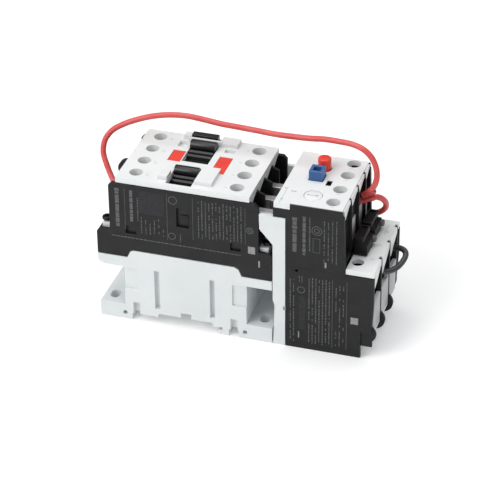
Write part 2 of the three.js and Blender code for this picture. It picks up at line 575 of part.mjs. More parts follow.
function bimetal(y) {
  const strip = [[99, 8], [104.8, 8], [104.8, 9.4], [100.4, 9.4], [100.4, 52], [99, 52]];
  return profile(strip, y - 3.6, y + 3.6);
}

const CAP = { x0: 112.9, x1: 117.2, step: 118.9, z0: 44.5, shoulder: 49.4, top: 53 };

function terminalCap(y0, y1) {
  const { x0, x1, step, z0, shoulder, top } = CAP;
  const steps = [[x0, z0], [step, z0], [step, shoulder], [x1, shoulder], [x1, top], [x0, top]];
  const block = profile(steps, y0, y1);
  const nub = barAlongX(y1 - 1.6, 47.6, 1.5, step - 1, step + 1.4, FINE);
  return join(block, nub);
}

// ---------------------------------------------------------------- wires
const LEAD_RADIUS = 1.3;

// Routes run from one terminal to the other, hand chosen, in the same place frame as the pieces.
const RED_LEAD_ROUTE = [[4.4, 21, 50], [1.9, 22, 53.2], [-1.4, 24.5, 56.8], [-4.5, 27, 61.4],
  [-6.8, 29.3, 66.2], [-6.6, 31.6, 71.2], [-3.8, 33.4, 75.4], [1.2, 35, 78.6], [7.6, 36.6, 81.2],
  [14.6, 38, 83.2], [22, 39, 84.4], [29.4, 39.7, 84.6], [36.8, 40, 83.9], [45, 40, 83],
  [53.2, 40, 82.6], [61.6, 39.7, 82.4], [70, 39.3, 82.2], [78, 38.8, 82.6], [86, 38, 83.4],
  [93, 37.4, 84.4], [99.4, 36.6, 84.8], [105.6, 35.8, 84.8], [110.8, 34.8, 83.6],
  [114.6, 33.8, 80.8], [116.9, 32.8, 76.8], [117.6, 31.8, 72.4], [116.6, 31, 68.4],
  [114.3, 30.4, 65.3], [111.9, 30.1, 63.7]];
const RED_LINK_ROUTE = [[108.8, 30.8, 60.2], [111.9, 31.2, 60.6], [114.6, 32.4, 61.6],
  [117.4, 34, 61.6], [119.6, 35.8, 59.8], [120.6, 37.4, 57], [120, 38.9, 53.8], [118, 40.2, 51],
  [115.4, 41.2, 49], [113.4, 41.8, 47.6]];
const BLACK_LINK_ROUTE = [[119.4, 38, 33.2], [122.4, 38, 33.6], [124.8, 38, 34.6],
  [127, 37.4, 35.2], [129.3, 36, 35.6], [130.8, 34.2, 35.4], [131.2, 32, 34.6],
  [130.6, 29.8, 33.4], [129.4, 27.6, 32.2], [127.6, 25.4, 31.4], [125.4, 23.6, 31.2],
  [122.8, 22.4, 31.4], [120, 22.2, 31.6]];

function lead(route, steps) {
  const path = new THREE.CatmullRomCurve3(route.map((p) => new THREE.Vector3(...p)), false, "centripetal");
  return new THREE.ExtrudeGeometry(circle(LEAD_RADIUS, 8), { steps, extrudePath: path, bevelEnabled: false });
}

// ---------------------------------------------------------------- assembly
add("contactor_base", contactorBase(), WHITE);
add("contactor_body", contactorBody(), DARK);
add("contactor_cover", contactorCover(), WHITE);
add("red_insert_left", redInsert(LEFT_INSERT), RED);
add("red_insert_right", redInsert(RIGHT_INSERT), RED);
add("accessory_rail", accessoryRail(), BLACK);
add("contact_carrier", contactCarrier(), BLACK);
add("armature_core", armatureCore(), CORE);
add("fixed_core", fixedCore(), CORE);
add("coil", coil(), COPPER);
add("return_spring", returnSpring(), STEEL);
add("rail_clip", railClip(), BLACK);

POLE_Y.forEach((y, i) => {
  const pole = i + 1;
  add(`contact_bridge_${pole}`, contactBridge(y), COPPER);
  add(`line_contact_${pole}`, fixedContact(STRIP, LINE_SCREW_X, y), COPPER);
  add(`load_contact_${pole}`, fixedContact(mirrored(STRIP), LOAD_SCREW_X, y), COPPER);
  const { foot, z0, z1 } = TERMINAL_SCREW;
  add(`line_screw_${pole}`, screw(LINE_SCREW_X, y, foot, z0, z1), STEEL);
  add(`load_screw_${pole}`, screw(LOAD_SCREW_X, y, foot, z0, z1), STEEL);
});

[COIL_SCREW.x, MIRROR_X - COIL_SCREW.x].forEach((x, i) => {
  add(`coil_screw_${i + 1}`, screw(x, COIL_SCREW.y, COIL_SCREW.foot, COIL_SCREW.z0, COIL_SCREW.z1), STEEL);
});

add("overload_frame", overloadFrame(), WHITE);
add("overload_housing", overloadHousing(), DARK);
add("overload_cover", overloadCover(), WHITE);
add("overload_terminal_cover", overloadTerminalCover(), WHITE);
add("stop_button", stopButton(), RED);
add("reset_button", resetButton(), BLUE);
add("current_dial", currentDial(), WHITE);
add("test_slider", testSlider(), BLACK);
POLE_Y.slice(0, 3).forEach((y, i) => add(`link_bar_${i + 1}`, linkBar(y), STEEL));
AUX_Y.forEach((y, i) => {
  add(`aux_screw_${i + 1}`, screw(AUX_X, y, AUX_SCREW.foot, AUX_SCREW.z0, AUX_SCREW.z1), STEEL);
});
MOTOR_Y.forEach((y, i) => {
  const { foot, z0, z1, head } = MOTOR_SCREW;
  add(`motor_screw_${i + 1}`, screw(MOTOR_X, y, foot, z0, z1, head), STEEL);
  add(`bimetal_${i + 1}`, bimetal(y), COPPER);
});
add("terminal_cap_1", terminalCap(12.4, 24.2), BLACK);
add("terminal_cap_2", terminalCap(26, 37.8), BLACK);
add("red_lead", lead(RED_LEAD_ROUTE, 70), RED_WIRE);
add("red_link", lead(RED_LINK_ROUTE, 18), RED_WIRE);
add("black_link", lead(BLACK_LINK_ROUTE, 18), BLACK_WIRE);

starter.position.set(-LENGTH / 2, -WIDTH / 2, 0);
const part = new THREE.Group();
part.add(starter);

export default part;
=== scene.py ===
"""Magnetic motor starter: the looks of a four-pole contactor with a plug-in overload relay.

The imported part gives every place. Lengths below are millimetres, measured from the datum, which is
the corner of the contactor's white base at its line end, near side and underside; the bench turns
them into metres in the row frame.
"""

from __future__ import annotations

import json
import logging
import math
import random
from dataclasses import dataclass, field
from enum import Enum
from typing import Iterable, Sequence

import bmesh
import bpy
from mathutils import Matrix, Vector

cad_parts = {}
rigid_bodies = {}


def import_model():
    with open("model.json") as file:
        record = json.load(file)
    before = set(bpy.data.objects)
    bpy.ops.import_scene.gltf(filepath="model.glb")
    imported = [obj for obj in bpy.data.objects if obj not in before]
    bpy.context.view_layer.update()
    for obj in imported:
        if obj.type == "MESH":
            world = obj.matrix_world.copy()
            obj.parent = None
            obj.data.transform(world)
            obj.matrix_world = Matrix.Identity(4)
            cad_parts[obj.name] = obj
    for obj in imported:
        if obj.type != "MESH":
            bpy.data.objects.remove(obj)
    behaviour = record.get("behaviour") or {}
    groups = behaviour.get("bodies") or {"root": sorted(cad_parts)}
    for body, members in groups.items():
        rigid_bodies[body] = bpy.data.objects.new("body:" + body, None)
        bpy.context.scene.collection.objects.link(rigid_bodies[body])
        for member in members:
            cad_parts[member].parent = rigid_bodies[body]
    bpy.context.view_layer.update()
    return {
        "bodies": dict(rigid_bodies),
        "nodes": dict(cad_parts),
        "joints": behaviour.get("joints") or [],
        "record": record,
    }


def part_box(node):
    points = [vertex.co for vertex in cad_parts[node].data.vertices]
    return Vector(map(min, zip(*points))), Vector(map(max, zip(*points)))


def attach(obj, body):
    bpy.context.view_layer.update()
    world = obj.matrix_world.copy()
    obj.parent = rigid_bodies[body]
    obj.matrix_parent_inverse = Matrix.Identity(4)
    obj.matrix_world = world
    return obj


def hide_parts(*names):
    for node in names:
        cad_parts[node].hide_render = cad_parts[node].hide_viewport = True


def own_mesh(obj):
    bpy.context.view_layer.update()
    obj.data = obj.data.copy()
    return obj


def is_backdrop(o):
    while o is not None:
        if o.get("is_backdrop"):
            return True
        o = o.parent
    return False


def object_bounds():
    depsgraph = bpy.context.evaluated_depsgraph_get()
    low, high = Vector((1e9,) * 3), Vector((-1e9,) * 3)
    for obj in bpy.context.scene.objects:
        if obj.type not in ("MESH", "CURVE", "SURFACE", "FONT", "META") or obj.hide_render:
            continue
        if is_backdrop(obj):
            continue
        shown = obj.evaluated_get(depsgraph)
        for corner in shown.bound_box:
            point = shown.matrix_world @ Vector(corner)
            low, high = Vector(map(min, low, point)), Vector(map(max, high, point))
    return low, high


Colour = tuple[float, float, float]
Point = tuple[float, float, float]
Flat = tuple[float, float]
Extent = tuple[float, float, float, float]  # x from, x to, z from, z to on a side wall

MM = 0.001
SMOOTH_ANGLE = 38.0  # degrees; edges that bend less are shaded smooth
SHARP_ANGLE = 32.0  # degrees; edges of a CAD node that bend more are rounded
FLAT_ANGLE = 0.6  # degrees; neighbouring faces that bend less are one face
LEAST_BEND = 0.01  # radians; an edge that bends less joins two parts of a flat face
WELD_MM = 0.004  # corners nearer than this are one corner
ROUNDING = "rounding"  # face attribute: 1 on the rounded edges of a piece
LOG = logging.getLogger("starter")


class Body(Enum):
    """The CAD bodies that pieces ride on, apart from the screws, which are named for themselves."""

    ROOT = "root"
    CARRIER = "carrier"
    STOP = "stop_button"
    RESET = "reset_button"
    DIAL = "current_dial"
    TEST = "test_slider"
    CLIP = "rail_clip"


class Slot(Enum):
    """The record's material slots."""

    WHITE = "white_plastic"
    DARK = "dark_plastic"
    BLACK = "black_plastic"
    RED = "red_plastic"
    BLUE = "blue_plastic"
    STEEL = "screw_steel"
    COPPER = "contact_metal"
    CORE = "core_steel"
    COIL = "coil_body"
    SPRING = "spring_steel"
    RED_WIRE = "red_insulation"
    BLACK_WIRE = "black_insulation"


class Axis(Enum):
    """The direction that a turned piece's axis points in."""

    X = "x"
    Y = "y"
    Z = "z"


# ------------------------------------------------------------------------------ finishes


class NodeDesk:
    """Lays out the shader nodes of one material and links them."""

    def __init__(self, name: str) -> None:
        """Starts an empty node material.

        Args:
            name: the material's name.
        """
        self.material = bpy.data.materials.new(name)
        self.material.use_nodes = True
        self.tree = self.material.node_tree
        self.tree.nodes.clear()
        self.shader = self.add("ShaderNodeBsdfPrincipled")
        output = self.add("ShaderNodeOutputMaterial")
        self.link(self.shader.outputs["BSDF"], output.inputs["Surface"])
        self.where = self.add("ShaderNodeTexCoord").outputs["Object"]

    def add(self, kind: str, **values: object) -> bpy.types.Node:
        """Adds a node and sets its properties.

        Args:
            kind: the node's type name.
            values: properties of the node by name.

        Returns:
            The new node.
        """
        node = self.tree.nodes.new(kind)
        for name, value in values.items():
            setattr(node, name, value)
        return node

    def link(self, source: bpy.types.NodeSocket, target: bpy.types.NodeSocket) -> None:
        """Links one socket to another."""
        self.tree.links.new(source, target)

    def plain(self, **values: object) -> None:
        """Sets uniform values on the shader's own sockets, given by name with _ for a space."""
        for name, value in values.items():
            self.shader.inputs[name.replace("_", " ")].default_value = value

    def noise(
        self, period_mm: float, detail: float = 3, stretch: Point = (1, 1, 1)
    ) -> bpy.types.NodeSocket:
        """A noise pattern fixed to the piece.

        Args:
            period_mm: the pattern's rough grain size in millimetres.
            detail: how many finer layers it has.
            stretch: how much finer the pattern is along each axis.

        Returns:
            The pattern's value socket, from 0 to 1.
        """
        place = self.add("ShaderNodeMapping")
        place.inputs["Scale"].default_value = stretch
        self.link(self.where, place.inputs["Vector"])
        pattern = self.add("ShaderNodeTexNoise")
        pattern.inputs["Scale"].default_value = 1 / (period_mm * MM)
        pattern.inputs["Detail"].default_value = detail
        self.link(place.outputs["Vector"], pattern.inputs["Vector"])
        return pattern.outputs["Fac"]

    def bands(self, period_mm: float, direction: Axis, distortion: float = 0.0) -> bpy.types.NodeSocket:
        """Even bands across one axis.

        Args:
            period_mm: distance from one band to the next in millimetres.
            direction: the axis that crosses the bands.
            distortion: how far the bands waver.

        Returns:
            The pattern's value socket, from 0 to 1.
        """
        wave = self.add(
            "ShaderNodeTexWave", wave_type="BANDS", bands_direction=direction.name
        )
        wave.inputs["Scale"].default_value = math.pi / 10 / (period_mm * MM)
        wave.inputs["Distortion"].default_value = distortion
        self.link(self.where, wave.inputs["Vector"])
        return wave.outputs["Fac"]

    def spread(
        self, value: bpy.types.NodeSocket, low: float, high: float, start: float, end: float
    ) -> bpy.types.NodeSocket:
        """Maps a value's range to another, clamped.

        Args:
            value: the socket to map.
            low: the value that becomes start.
            high: the value that becomes end.
            start: the new range's beginning.
            end: the new range's end.

        Returns:
            The mapped value's socket.
        """
        node = self.add("ShaderNodeMapRange", clamp=True)
        for name, number in zip(
            ("From Min", "From Max", "To Min", "To Max"), (low, high, start, end)
        ):
            node.inputs[name].default_value = number
        self.link(value, node.inputs["Value"])
        return node.outputs["Result"]

    def mix(
        self, share: bpy.types.NodeSocket, first: Colour | bpy.types.NodeSocket, second: Colour
    ) -> bpy.types.NodeSocket:
        """Mixes two colours.

        Args:
            share: the second colour's share.
            first: a colour or the socket of one.
            second: the other colour.

        Returns:
            The mixed colour's socket.
        """
        node = self.add("ShaderNodeMix", data_type="RGBA")
        self.link(share, node.inputs["Factor"])
        if isinstance(first, tuple):
            node.inputs[6].default_value = (*first, 1)
        else:
            self.link(first, node.inputs[6])
        node.inputs[7].default_value = (*second, 1)
        return node.outputs[2]

    def edges(self, share: float) -> bpy.types.NodeSocket:
        """How much of the wear colour shows: in patches, on the rounded edges only."""
        rounding = self.add("ShaderNodeAttribute", attribute_name=ROUNDING).outputs["Fac"]
        patches = self.spread(self.noise(2.2, 4), 0.35, 0.7, 0.25 * share, share)
        product = self.add("ShaderNodeMath", operation="MULTIPLY")
        self.link(rounding, product.inputs[0])
        self.link(patches, product.inputs[1])
        return product.outputs[0]

    def relief(self, pattern: bpy.types.NodeSocket, depth_mm: float, strength: float) -> None:
        """Raises the surface by a pattern, over whatever relief it has already.

        Args:
            pattern: the height socket, from 0 to 1.
            depth_mm: the height of 1 in millimetres.
            strength: how strongly it shows.
        """
        bump = self.add("ShaderNodeBump")
        bump.inputs["Distance"].default_value = depth_mm * MM
        bump.inputs["Strength"].default_value = strength
        self.link(pattern, bump.inputs["Height"])
        normal = self.shader.inputs["Normal"]
        if normal.is_linked:
            self.link(normal.links[0].from_socket, bump.inputs["Normal"])
        self.link(bump.outputs["Normal"], normal)


class Finish:
    """A finish that makes its material once and hands out the same one after that."""

    name: str
    _made: dict[str, bpy.types.Material] = {}

    def material(self) -> bpy.types.Material:
        """The finish's material."""
        if self.name not in Finish._made:
            Finish._made[self.name] = self.build()
        return Finish._made[self.name]

    def build(self) -> bpy.types.Material:
        """Makes the material; each kind of finish has its own way."""
        raise NotImplementedError


@dataclass(frozen=True)
class MouldedPlastic(Finish):
    """Injection-moulded plastic: spark-eroded grain, slow colour drift, rubbed edges."""

    name: str
    colour: Colour
    drift: Colour
    worn: Colour
    roughness: float
    wear: float = 0.35
    grain_mm: float = 0.3
    depth_mm: float = 0.010
    scatter: float = 0.0
    gloss: float = 0.5

    def build(self) -> bpy.types.Material:
        """Makes the plastic's material."""
        desk = NodeDesk(self.name)
        cloud = desk.spread(desk.noise(14, 4), 0.35, 0.65, 0.0, 1.0)
        tinted = desk.mix(cloud, self.colour, self.drift)
        flecks = desk.spread(desk.noise(0.7, 2), 0.62, 0.8, 0.0, 0.35)
        flecked = desk.mix(flecks, tinted, self.drift)
        rubbed = desk.mix(desk.edges(self.wear), flecked, self.worn)
        desk.link(rubbed, desk.shader.inputs["Base Color"])
        polish = desk.spread(
            desk.noise(5, 4), 0.3, 0.7, self.roughness - 0.06, self.roughness + 0.07
        )
        desk.link(polish, desk.shader.inputs["Roughness"])
        desk.relief(desk.noise(self.grain_mm, 2), self.depth_mm, 0.55)
        desk.relief(desk.noise(22, 1), 0.05, 0.25)
        desk.plain(IOR=1.49, Specular_IOR_Level=self.gloss)
        if self.scatter:
            desk.plain(
                Subsurface_Weight=self.scatter,
                Subsurface_Radius=(1.0, 0.9, 0.8),
                Subsurface_Scale=0.0008,
            )
        return desk.material


@dataclass(frozen=True)
class PlatedSteel(Finish):
    """Zinc-plated steel: fine turning lines, cloudy plating, rubbed edges."""

    name: str
    colour: Colour
    cloudy: Colour
    roughness: float
    line_mm: float = 0.12

    def build(self) -> bpy.types.Material:
        """Makes the plated steel's material."""
        desk = NodeDesk(self.name)
        cloud = desk.spread(desk.noise(1.6, 4), 0.35, 0.7, 0.0, 1.0)
        toned = desk.mix(cloud, self.colour, self.cloudy)
        bright = desk.mix(desk.edges(0.5), toned, (0.9, 0.9, 0.9))
        desk.link(bright, desk.shader.inputs["Base Color"])
        dull = desk.spread(
            desk.noise(0.8, 4), 0.3, 0.7, self.roughness - 0.08, self.roughness + 0.12
        )
        desk.link(dull, desk.shader.inputs["Roughness"])
        desk.relief(desk.noise(self.line_mm, 2, (1, 6, 6)), 0.008, 0.5)
        desk.plain(Metallic=1.0)
        return desk.material


@dataclass(frozen=True)
class PunchedStrip(Finish):
    """Punched copper alloy strip: rolling lines along x, tarnished patches."""

    name: str
    colour: Colour
    tarnish: Colour
    roughness: float

    def build(self) -> bpy.types.Material:
        """Makes the strip's material."""
        desk = NodeDesk(self.name)
        patches = desk.spread(desk.noise(3.5, 5), 0.42, 0.68, 0.0, 0.9)
        toned = desk.mix(patches, self.colour, self.tarnish)
        desk.link(toned, desk.shader.inputs["Base Color"])
        lines = desk.noise(0.25, 3, (0.08, 1, 1))
        desk.link(
            desk.spread(lines, 0.3, 0.7, self.roughness - 0.1, self.roughness + 0.1),
            desk.shader.inputs["Roughness"],
        )
        desk.relief(lines, 0.01, 0.4)
        desk.plain(Metallic=1.0)
        return desk.material


@dataclass(frozen=True)
class Layered(Finish):
    """Metal built up in layers, such as stacked laminations or a wound coil."""

    name: str
    colour: Colour
    between: Colour
    across: Axis
    layer_mm: float
    roughness: float
    metallic: float

    def build(self) -> bpy.types.Material:
        """Makes the layered material."""
        desk = NodeDesk(self.name)
        layer = desk.bands(self.layer_mm, self.across)
        gap = desk.spread(layer, 0.0, 0.35, 1.0, 0.0)
        toned = desk.mix(gap, self.colour, self.between)
        stained = desk.mix(desk.spread(desk.noise(4, 4), 0.5, 0.75, 0.0, 0.5), toned, self.between)
        desk.link(stained, desk.shader.inputs["Base Color"])
        desk.link(
            desk.spread(desk.noise(1.2, 3), 0.3, 0.7, self.roughness - 0.08, self.roughness + 0.1),
            desk.shader.inputs["Roughness"],
        )
        desk.relief(layer, 0.05, 0.6)
        desk.plain(Metallic=self.metallic)
        return desk.material


@dataclass(frozen=True)
class WireInsulation(Finish):
    """Extruded wire insulation: a soft shine, faint drawing lines and handling marks."""

    name: str
    colour: Colour
    rubbed: Colour
    roughness: float

    def build(self) -> bpy.types.Material:
        """Makes the insulation's material."""
        desk = NodeDesk(self.name)
        cloud = desk.spread(desk.noise(9, 4), 0.35, 0.7, 0.0, 0.8)
        toned = desk.mix(cloud, self.colour, self.rubbed)
        marks = desk.spread(desk.noise(1.1, 5), 0.6, 0.8, 0.0, 0.5)
        desk.link(desk.mix(marks, toned, self.rubbed), desk.shader.inputs["Base Color"])
        desk.link(
            desk.spread(desk.noise(2.5, 4), 0.3, 0.7, self.roughness - 0.05, self.roughness + 0.12),
            desk.shader.inputs["Roughness"],
        )
        desk.relief(desk.noise(0.5, 3), 0.012, 0.4)
        desk.plain(
            IOR=1.52,
            Subsurface_Weight=0.12,
            Subsurface_Radius=(1.0, 0.3, 0.25),
            Subsurface_Scale=0.0006,
            Coat_Weight=0.15,
            Coat_Roughness=0.3,
        )
        return desk.material


@dataclass(frozen=True)
class PadPrint(Finish):
    """Thin printing ink that has not covered the grain everywhere."""

    name: str
    colour: Colour
    thin: Colour
    cover: float = 0.6

    def build(self) -> bpy.types.Material:
        """Makes the ink's material."""
        desk = NodeDesk(self.name)
        missed = desk.spread(desk.noise(0.5, 4), self.cover - 0.15, self.cover + 0.15, 0.0, 1.0)
        desk.link(desk.mix(missed, self.colour, self.thin), desk.shader.inputs["Base Color"])
        desk.link(
            desk.spread(desk.noise(1.5, 2), 0.3, 0.7, 0.5, 0.7), desk.shader.inputs["Roughness"]
        )
        desk.relief(desk.noise(0.3, 2), 0.01, 0.4)
        return desk.material


@dataclass(frozen=True)
class StudioPaper(Finish):
    """The pale seamless paper that the starter stands on."""

    name: str
    colour: Colour
    fibre: Colour
    glow: float = 0.14

    def build(self) -> bpy.types.Material:
        """Makes the paper's material."""
        desk = NodeDesk(self.name)
        cloud = desk.spread(desk.noise(160, 3), 0.3, 0.7, 0.0, 1.0)
        desk.link(desk.mix(cloud, self.colour, self.fibre), desk.shader.inputs["Base Color"])
        desk.relief(desk.noise(1.5, 3), 0.02, 0.15)
        desk.plain(
            Roughness=0.92,
            Specular_IOR_Level=0.15,
            Emission_Color=(1, 1, 1, 1),
            Emission_Strength=self.glow,
        )
        return desk.material


WHITE = MouldedPlastic(
    "white moulding", (0.80, 0.82, 0.815), (0.76, 0.785, 0.785), (0.86, 0.87, 0.865), 0.42,
    wear=0.5, depth_mm=0.006, scatter=0.12,
)
BASE_WHITE = MouldedPlastic(
    "base moulding", (0.74, 0.77, 0.77), (0.70, 0.735, 0.74), (0.82, 0.84, 0.84), 0.46,
    wear=0.5, depth_mm=0.008, scatter=0.12,
)
DARK = MouldedPlastic(
    "dark moulding", (0.0100, 0.0100, 0.0108), (0.0075, 0.0075, 0.0082), (0.050, 0.050, 0.050), 0.55,
    wear=0.5, depth_mm=0.014, gloss=0.34,
)
BLACK = MouldedPlastic(
    "black moulding", (0.010, 0.010, 0.011), (0.007, 0.007, 0.008), (0.05, 0.05, 0.05), 0.27,
    wear=0.4, grain_mm=0.6, depth_mm=0.004,
)
CAP_BLACK = MouldedPlastic(
    "cap moulding", (0.006, 0.006, 0.0065), (0.004, 0.004, 0.0045), (0.03, 0.03, 0.03), 0.5,
    wear=0.45, depth_mm=0.010, gloss=0.28,
)
RED = MouldedPlastic(
    "red moulding", (0.83, 0.060, 0.035), (0.74, 0.045, 0.030), (0.90, 0.16, 0.12), 0.36,
    wear=0.4, depth_mm=0.005, scatter=0.08,
)
BLUE = MouldedPlastic(
    "blue moulding", (0.036, 0.125, 0.34), (0.028, 0.10, 0.29), (0.13, 0.27, 0.52), 0.38,
    wear=0.5, depth_mm=0.005,
)
GREY = MouldedPlastic(
    "grey moulding", (0.13, 0.13, 0.135), (0.11, 0.11, 0.115), (0.22, 0.22, 0.22), 0.48, wear=0.4,
)
# Painted shade: a near-black moulding laid in the pockets and the test window, where only shade falls.
PAINTED_SHADE_PIT = MouldedPlastic(
    "shadowed moulding", (0.008, 0.008, 0.009), (0.005, 0.005, 0.006), (0.02, 0.02, 0.02), 0.6,
    wear=0.1,
)
# Painted shade: a pale grey laid on white walls and sills that face away from the lamps.
PAINTED_SHADE_GREY = MouldedPlastic(
    "pale grey painted shade", (0.50, 0.51, 0.52), (0.44, 0.45, 0.46), (0.6, 0.6, 0.6), 0.5, wear=0.3,
)
ZINC = PlatedSteel("zinc plate", (0.56, 0.57, 0.58), (0.40, 0.41, 0.43), 0.32)
BLACK_ZINC = PlatedSteel("black zinc", (0.045, 0.045, 0.048), (0.025, 0.025, 0.028), 0.36)
SPRING_WIRE = PlatedSteel("spring wire", (0.48, 0.48, 0.49), (0.36, 0.36, 0.38), 0.3)
COPPER = PunchedStrip("copper strip", (0.78, 0.42, 0.25), (0.50, 0.22, 0.12), 0.34)
TINNED = PunchedStrip("tinned strip", (0.64, 0.64, 0.64), (0.50, 0.505, 0.52), 0.42)
SILVER = PunchedStrip("silver tip", (0.82, 0.80, 0.76), (0.60, 0.57, 0.52), 0.25)
LAMINATED = Layered("stacked laminations", (0.36, 0.37, 0.39), (0.12, 0.11, 0.10), Axis.Y, 0.5, 0.4, 1.0)
WINDING = Layered("coil winding", (0.45, 0.17, 0.06), (0.14, 0.04, 0.02), Axis.Z, 0.25, 0.3, 0.4)
RED_PVC = WireInsulation("red insulation", (0.66, 0.066, 0.062), (0.72, 0.12, 0.11), 0.38)
FERRULE_RED = WireInsulation("ferrule collar", (0.52, 0.040, 0.038), (0.58, 0.08, 0.07), 0.38)
BLACK_PVC = WireInsulation("black insulation", (0.030, 0.031, 0.033), (0.055, 0.056, 0.058), 0.4)
GREY_INK = PadPrint("grey print", (0.115, 0.115, 0.118), (0.045, 0.045, 0.047), 0.55)
PALE_INK = PadPrint("pale print", (0.34, 0.34, 0.34), (0.12, 0.12, 0.12), 0.54)
PANEL_INK = PadPrint("panel print", (0.006, 0.006, 0.009), (0.009, 0.009, 0.012), 0.7)
MARK_INK = PadPrint("terminal print", (0.52, 0.54, 0.54), (0.70, 0.72, 0.72), 0.5)
PAPER = StudioPaper("studio paper", (0.965, 0.965, 0.965), (0.945, 0.945, 0.95))


# ------------------------------------------------------------------------------ mesh work


class Shape:
    """A mesh in the making, in millimetres from the datum."""

    def __init__(self) -> None:
        """Starts an empty mesh."""
        self.bm = bmesh.new()

    def block(self, low: Point, high: Point, round_mm: float = 0.2, steps: int = 2) -> Shape:
        """Adds a box with rounded edges.

        Args:
            low: its lowest corner.
            high: its highest corner.
            round_mm: how far the rounding reaches in from each edge.
            steps: how many faces make the rounding.

        Returns:
            This shape.
        """
        size = Vector(high) - Vector(low)
        centre = (Vector(high) + Vector(low)) / 2
        made = bmesh.ops.create_cube(
            self.bm, size=1, matrix=Matrix.Translation(centre) @ Matrix.Diagonal((*size, 1))
        )
        if round_mm:
            edges = {edge for vert in made["verts"] for edge in vert.link_edges}
            bmesh.ops.bevel(
                self.bm,
                geom=list(edges),
                offset=min(round_mm, 0.45 * min(size)),
                segments=steps,
                profile=0.5,
                affect="EDGES",
            )
        return self

    def prism(self, outline: Sequence[Flat], axis: Axis, start: float, end: float) -> Shape:
        """Adds a straight prism.

        Args:
            outline: its corners in the plane across the axis, in that plane's own two axes.
            axis: the direction it runs in.
            start: where it begins along the axis.
            end: where it ends.

        Returns:
            This shape.
        """
        rings = [
            [self.bm.verts.new(placed(u, v, w, axis)) for u, v in outline] for w in (start, end)
        ]
        self.bm.faces.new(rings[0][::-1])
        self.bm.faces.new(rings[1])
        count = len(outline)
        for i in range(count):
            j = (i + 1) % count
            self.bm.faces.new((rings[0][i], rings[0][j], rings[1][j], rings[1][i]))
        return self

    def turned(
        self, profile: Sequence[Flat], centre: Point, axis: Axis = Axis.Z, sides: int = 48
    ) -> Shape:
        """Adds a solid of revolution.

        Args:
            profile: radius and height pairs from the bottom of the axis to its top. It starts and
                ends at radius 0 for a solid piece; otherwise it is closed into a ring.
            centre: where height 0 of the axis is.
            axis: the direction of the axis.
            sides: how many faces go round.

        Returns:
            This shape.
        """
        solid = profile[0][0] == 0 and profile[-1][0] == 0
        middle = Vector(centre)
        rings: list[list[bmesh.types.BMVert]] = []
        for radius, height in profile:
            if radius == 0:
                rings.append([self.bm.verts.new(middle + Vector(placed(0, 0, height, axis)))])
                continue
            rings.append(
                [
                    self.bm.verts.new(
                        middle
                        + Vector(
                            placed(
                                radius * math.cos(2 * math.pi * i / sides),
                                radius * math.sin(2 * math.pi * i / sides),
                                height,
                                axis,
                            )
                        )
                    )
                    for i in range(sides)
                ]
            )
        pairs = list(zip(rings, rings[1:] if solid else rings[1:] + rings[:1]))
        for lower, upper in pairs:
            for i in range(sides):
                j = (i + 1) % sides
                corners = [lower[i % len(lower)], lower[j % len(lower)]]
                corners += [upper[j % len(upper)], upper[i % len(upper)]]
                unique = list(dict.fromkeys(corners))
                if len(unique) > 2:
                    self.bm.faces.new(unique)
        return self

    def swept(self, path: Sequence[Vector], radius: float, sides: int = 10) -> Shape:
        """Adds a round wire along a path.

        Args:
            path: points along its middle.
            radius: the wire's radius.
            sides: how many faces go round.

        Returns:
            This shape.
        """
        rings = []
        side = Vector((0, 0, 1))
        for i, point in enumerate(path):
            along = (path[min(i + 1, len(path) - 1)] - path[max(i - 1, 0)]).normalized()
            side = (side - along * side.dot(along)).normalized()
            other = along.cross(side)
            angles = [2 * math.pi * k / sides for k in range(sides)]
            rings.append(
                [
                    self.bm.verts.new(
                        point + side * radius * math.cos(a) + other * radius * math.sin(a)
                    )
                    for a in angles
                ]
            )
        for lower, upper in zip(rings, rings[1:]):
            for i in range(sides):
                j = (i + 1) % sides
                self.bm.faces.new((lower[i], lower[j], upper[j], upper[i]))
        self.bm.faces.new(rings[0][::-1])
        self.bm.faces.new(rings[-1])
        return self

    def mesh(self, name: str, datum: Vector) -> bpy.types.Mesh:
        """Turns the shape into a mesh in metres in the row frame.

        Args:
            name: the mesh's name.
            datum: where the datum corner is in the row frame.

        Returns:
            The finished mesh.
        """
        bmesh.ops.recalc_face_normals(self.bm, faces=self.bm.faces)
        self.bm.transform(Matrix.Translation(datum) @ Matrix.Scale(MM, 4))
        mesh = bpy.data.meshes.new(name)
        self.bm.to_mesh(mesh)
        self.bm.free()
        return mesh


def placed(u: float, v: float, w: float, axis: Axis) -> Point:
    """A point given by two flat coordinates and the height along an axis.

    Args:
        u: the first flat coordinate: x, or y where the axis is x.
        v: the second: y, or z where the axis isn't z.
        w: the height along the axis.
        axis: the axis.

    Returns:
        The point as x, y and z.
    """
    if axis is Axis.X:
        return (w, u, v)
    if axis is Axis.Y:
        return (u, w, v)
    return (u, v, w)


def smooth_route(points: Sequence[Point], per_span: int = 8) -> list[Vector]:
    """Points along the centripetal Catmull-Rom curve through a route.

    Args:
        points: the route's own points.
        per_span: how many points are made from one of them to the next.

    Returns:
        The points in order, ends included.
    """
    knots = [Vector(p) for p in points]
    knots = [2 * knots[0] - knots[1], *knots, 2 * knots[-1] - knots[-2]]
    line: list[Vector] = []
    for a, b, c, d in zip(knots, knots[1:], knots[2:], knots[3:]):
        t = [0.0]
        for p, q in ((a, b), (b, c), (c, d)):
            t.append(t[-1] + max((q - p).length, 1e-9) ** 0.5)
        for step in range(per_span):
            s = t[1] + (t[2] - t[1]) * step / per_span
            a1 = a.lerp(b, (s - t[0]) / (t[1] - t[0]))
            a2 = b.lerp(c, (s - t[1]) / (t[2] - t[1]))
            a3 = c.lerp(d, (s - t[2]) / (t[3] - t[2]))
            b1 = a1.lerp(a2, (s - t[0]) / (t[2] - t[0]))
            b2 = a2.lerp(a3, (s - t[1]) / (t[3] - t[1]))
            line.append(b1.lerp(b2, (s - t[1]) / (t[2] - t[1])))
    line.append(knots[-2])
    return line


